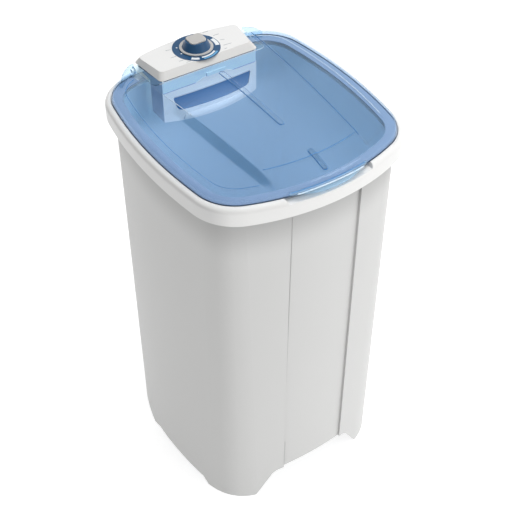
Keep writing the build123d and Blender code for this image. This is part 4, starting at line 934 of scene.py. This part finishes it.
def ear_section(peak):
    """Distances from the crest line and levels of an ear's section, from outside to inside."""
    return ((0.0030, EAR_FOOT), (0.0016, (peak + EAR_FOOT) / 2 + 0.002), (0.0004, peak - 0.0006),
            (-0.0004, peak), (-0.0016, peak - 0.0010), (-0.0030, EAR_INNER), (-0.0040, EAR_FOOT))


def make_ears():
    """The raised wings beside the panel, where the lid's crest runs out to the hinge, each with a painted
    highlight along its crest.
    """
    for label, crest in EARS.items():
        path = resample(crest, EAR_STEP)
        count = len(path)
        rows, edge = [], []
        for k, (x, y) in enumerate(path):
            nx, ny = across(path, k)
            sign = 1 if x < 0 else -1
            lift = EAR_LIFT * float(ease(k / (EAR_LIFT_SHARE * count)))
            peak = LID_CREST + lift + EAR_CLIMB * k / count
            row = [(x + nx * sign * out, y + ny * sign * out, level) for out, level in ear_section(peak)]
            crest_x, crest_y, crest_z = row[3]
            rows.append(row)
            edge.append([(crest_x + dx, crest_y + dy, crest_z + dz) for dx, dy, dz in EAR_HIGHLIGHT])
        add_piece(f"lid_ear_{label}", rows, "lid", "lip_clear")
        add_piece(f"lid_ear_highlight_{label}", edge, "lid", "highlight_white")


# Marks on the panel and the dial: the ends of each dash, and the dial's fields by radius and angle
PANEL_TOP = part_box("control_panel")[1].z
DIAL_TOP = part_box("dial_ring")[1].z
DIAL_X = 0.0
DIAL_Y = (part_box("dial_ring")[0].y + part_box("dial_ring")[1].y) / 2
PRINT = 0.00012
TICK_WIDTH = 0.0011
TICKS = [((-0.0576, 0.2324), (-0.0474, 0.2301)), ((-0.0626, 0.2036), (-0.0502, 0.2027)),
         ((-0.0549, 0.1841), (-0.0431, 0.1835)), ((-0.0441, 0.1727), (-0.0351, 0.1725)),
         ((0.0394, 0.2500), (0.0519, 0.2495)), ((0.0522, 0.2292), (0.0652, 0.2283)),
         ((0.0554, 0.2073), (0.0640, 0.2046)), ((0.0503, 0.1865), (0.0685, 0.1850)),
         ((0.0447, 0.1738), (0.0512, 0.1740))]
DIAL_FIELDS = (("right", 0.0395, 0.0475, -21, 13, "mark_and_highlight_white"),
               ("left", 0.0385, 0.0455, -134, -112, "mark_and_highlight_white"),
               ("front", 0.0370, 0.0410, -104, -52, "mark_and_highlight_white"),
               ("edge", 0.0425, 0.0465, -100, -50, "mark_blue"))
DIAL_DOTS = ((-0.034, 0.229), (-0.037, 0.2046))
DOT_RADIUS = 0.0016


def prism(name, corners, low, high, material, along="Z"):
    """A straight-sided piece over a polygon, between two levels along Z or Y."""
    rows = [[(a, b, level) if along == "Z" else (a, level, b) for a, b in corners] for level in (low, high)]
    add_piece(name, rows, "machine", material, smooth=False)


def bar(start, end, width):
    """The corners of a straight dash in plan."""
    run = math.dist(start, end)
    nx, ny = -(end[1] - start[1]) / run * width / 2, (end[0] - start[0]) / run * width / 2
    (ax, ay), (bx, by) = start, end
    return [(ax + nx, ay + ny), (ax - nx, ay - ny), (bx - nx, by - ny), (bx + nx, by + ny)]


def sector(inner, outer, start, end):
    """The corners of a ring sector round the dial's centre, its angles in degrees."""
    corners = []
    for radius, first, last in ((outer, start, end), (inner, end, start)):
        for k in range(13):
            angle = math.radians(first + (last - first) * k / 12)
            corners.append((DIAL_X + radius * math.cos(angle), DIAL_Y + radius * math.sin(angle)))
    return corners


def dot(x, y):
    """The corners of a small round dot in plan."""
    turns = [math.pi * k / 8 for k in range(16)]
    return [(x + DOT_RADIUS * math.cos(turn), y + DOT_RADIUS * math.sin(turn)) for turn in turns]


def make_marks():
    """Plain dashes round the dial, and the dial's own fields and dots."""
    for index, (start, end) in enumerate(TICKS):
        prism(f"tick_{index}", bar(start, end, TICK_WIDTH), PANEL_TOP - PRINT, PANEL_TOP + PRINT,
              "print_grey")
    low, high = DIAL_TOP - PRINT, DIAL_TOP + PRINT
    for label, inner, outer, start, end, material in DIAL_FIELDS:
        prism(f"dial_field_{label}", sector(inner, outer, start, end), low, high, material)
    for index, (x, y) in enumerate(DIAL_DOTS):
        prism(f"dial_dot_{index}", dot(x, y), low, high, "mark_and_highlight_white")


# The two housings' front face, its tab, seam, window lip and the painted highlight on the window's top
# bevel, and the painted shadow under the panel
HOUSING_HALF = 0.110
HOUSING_FRONT = PANEL_FRONT + 0.002
HOUSING_SEAM = 0.878
HOUSING_LOW = 0.811
HOUSING_BOW = 0.022
SEAM_HALF = 0.108
TAB_OUTLINE = [(-0.036, 0.8775), (-0.016, 0.8846), (-0.012, 0.885), (0.034, 0.885), (0.038, 0.8844),
               (0.054, 0.8775)]
TAB_PROUD = 0.0012
TAB_SINK = 0.0005
BAND_SECTION = ((-1, -1), (-0.8, 0.8), (0, 1), (0.8, 0.8), (1, -1))
BEVEL_LEVEL = 0.8632
BEVEL_SPAN = (-0.086, 0.093)
WINDOW_LIP_SPAN = (-0.071, 0.067)
# The window lip's section: how far each point leans sideways, stands out, and its level
WINDOW_LIP = ((0.006, -0.0005, 0.8262), (0.005, 0.0010, 0.8250), (0.003, 0.0022, 0.8210),
              (0.0, 0.0026, 0.8170), (-0.002, 0.0014, 0.8135), (-0.002, -0.0005, 0.8125))
# Painted shadow under the panel: its path on the left, its width and its levels
PANEL_SHADOW_LEFT = [(-0.1209, 0.232), (-0.1121, PANEL_FRONT + 0.010), (-0.1092, PANEL_FRONT + 0.0030),
              (-0.1025, PANEL_FRONT + 0.0006)]
PANEL_SHADOW_WIDTH = 0.0015
PANEL_SHADOW_LOW = 0.9060
PANEL_SHADOW_HIGH = 0.9082


def face_y(x, z):
    """The housing's front face: flat above the seam, bulging more towards its foot below."""
    down = max(HOUSING_SEAM - z, 0) / (HOUSING_SEAM - HOUSING_LOW)
    return HOUSING_FRONT - HOUSING_BOW * down * (1 - (x / HOUSING_HALF) ** 2)


def face_band(name, path, width, proud, material):
    """A thin raised line on the housing's front along a path of x and z."""
    rows = []
    for k, (x, z) in enumerate(path):
        nx, nz = across(path, k)
        row = []
        for side, rise in BAND_SECTION:
            px, pz = x + nx * side * width / 2, z + nz * side * width / 2
            row.append((px, face_y(px, pz) - rise * proud, pz))
        rows.append(row)
    add_piece(name, rows, "machine", material)


def make_housing_details():
    """The tab and the seam between the housings, a painted highlight on the window's bevel and the lip
    under it.
    """
    prism("housing_tab", TAB_OUTLINE, HOUSING_FRONT - TAB_PROUD, HOUSING_FRONT + TAB_SINK,
          "housing_lilac", along="Y")
    seam = [(x, HOUSING_SEAM) for x in np.linspace(-SEAM_HALF, SEAM_HALF, 37)]
    face_band("housing_seam", seam, 0.0009, 0.00025, "line_blue")
    # Painted highlight along the window's top bevel
    bevel = [(x, BEVEL_LEVEL) for x in np.linspace(*BEVEL_SPAN, 31)]
    face_band("window_bevel_highlight", bevel, 0.0024, 0.0006, "mark_and_highlight_white")
    rows = [[(x + slant, face_y(x, z) - out, z) for slant, out, z in WINDOW_LIP]
            for x in np.linspace(*WINDOW_LIP_SPAN, 29)]
    add_piece("window_lip", rows, "machine", "housing_lilac")


def make_panel_shadow():
    """A dark strip of painted shadow that runs under the panel's edge along its front and both sides."""
    path = PANEL_SHADOW_LEFT + [(-x, y) for x, y in reversed(PANEL_SHADOW_LEFT)]
    rows = []
    for k, (x, y) in enumerate(path):
        nx, ny = across(path, k)
        inner = (x + nx * PANEL_SHADOW_WIDTH, y + ny * PANEL_SHADOW_WIDTH)
        rows.append([(x, y, PANEL_SHADOW_LOW), (x, y, PANEL_SHADOW_HIGH), (*inner, PANEL_SHADOW_HIGH), (*inner, PANEL_SHADOW_LOW)])
    add_piece("panel_shadow_strip", rows, "machine", "shadow_navy", smooth=False)


# The painted shade line down the cabinet's front: its place at the foot, and how it leans to the right
LINE_LOW = 0.075
LINE_HIGH = 0.845
LINE_FOOT = -0.0760
LINE_LEAN = 0.0085
LINE_HALF = 0.0008
LINE_PROUD = 0.0003
LINE_DEPTH = 0.0010


def make_cabinet_shade_line():
    """The shallow line down the cabinet's front, on the left of its middle field: painted shade along the
    edge of the front's step.
    """
    cabinet = nodes["cabinet"]
    rows = []
    for z in np.linspace(LINE_LOW, LINE_HIGH, 60):
        middle = LINE_FOOT + LINE_LEAN * (z - LINE_LOW)
        left, right = middle - LINE_HALF, middle + LINE_HALF
        hits = [cabinet.ray_cast(Vector((x, -1, z)), Vector((0, 1, 0))) for x in (left, right)]
        if all(hit[0] for hit in hits):
            face = min(hit[1].y for hit in hits) - LINE_PROUD
            rows.append([(left, face + LINE_DEPTH, z), (left, face, z), (right, face, z),
                         (right, face + LINE_DEPTH, z)])
    add_piece("cabinet_shade_line", rows, "machine", "shade_line_grey", smooth=False)


make_camera()
make_sky()
area_light("key", (1.8, -2.4, 2.6), (0, 0, 0.6), 1.6, 20)
area_light("top", (0.5, 0.3, 3.2), (0, 0, 0.9), 1.2, 26, mirrored=False)
make_floor()
make_backdrop()
materials = {name: plastic(name, **look) for name, look in PLASTICS.items()}
materials.update({name: clear_plastic(name, **look) for name, look in CLEAR_PLASTICS.items()})
paint_nodes()
make_lid()
make_lip()
make_cabinet_shade_line()
make_lid_lines()
make_lid_edge_shade()
make_ears()
make_marks()
make_housing_details()
make_panel_shadow()
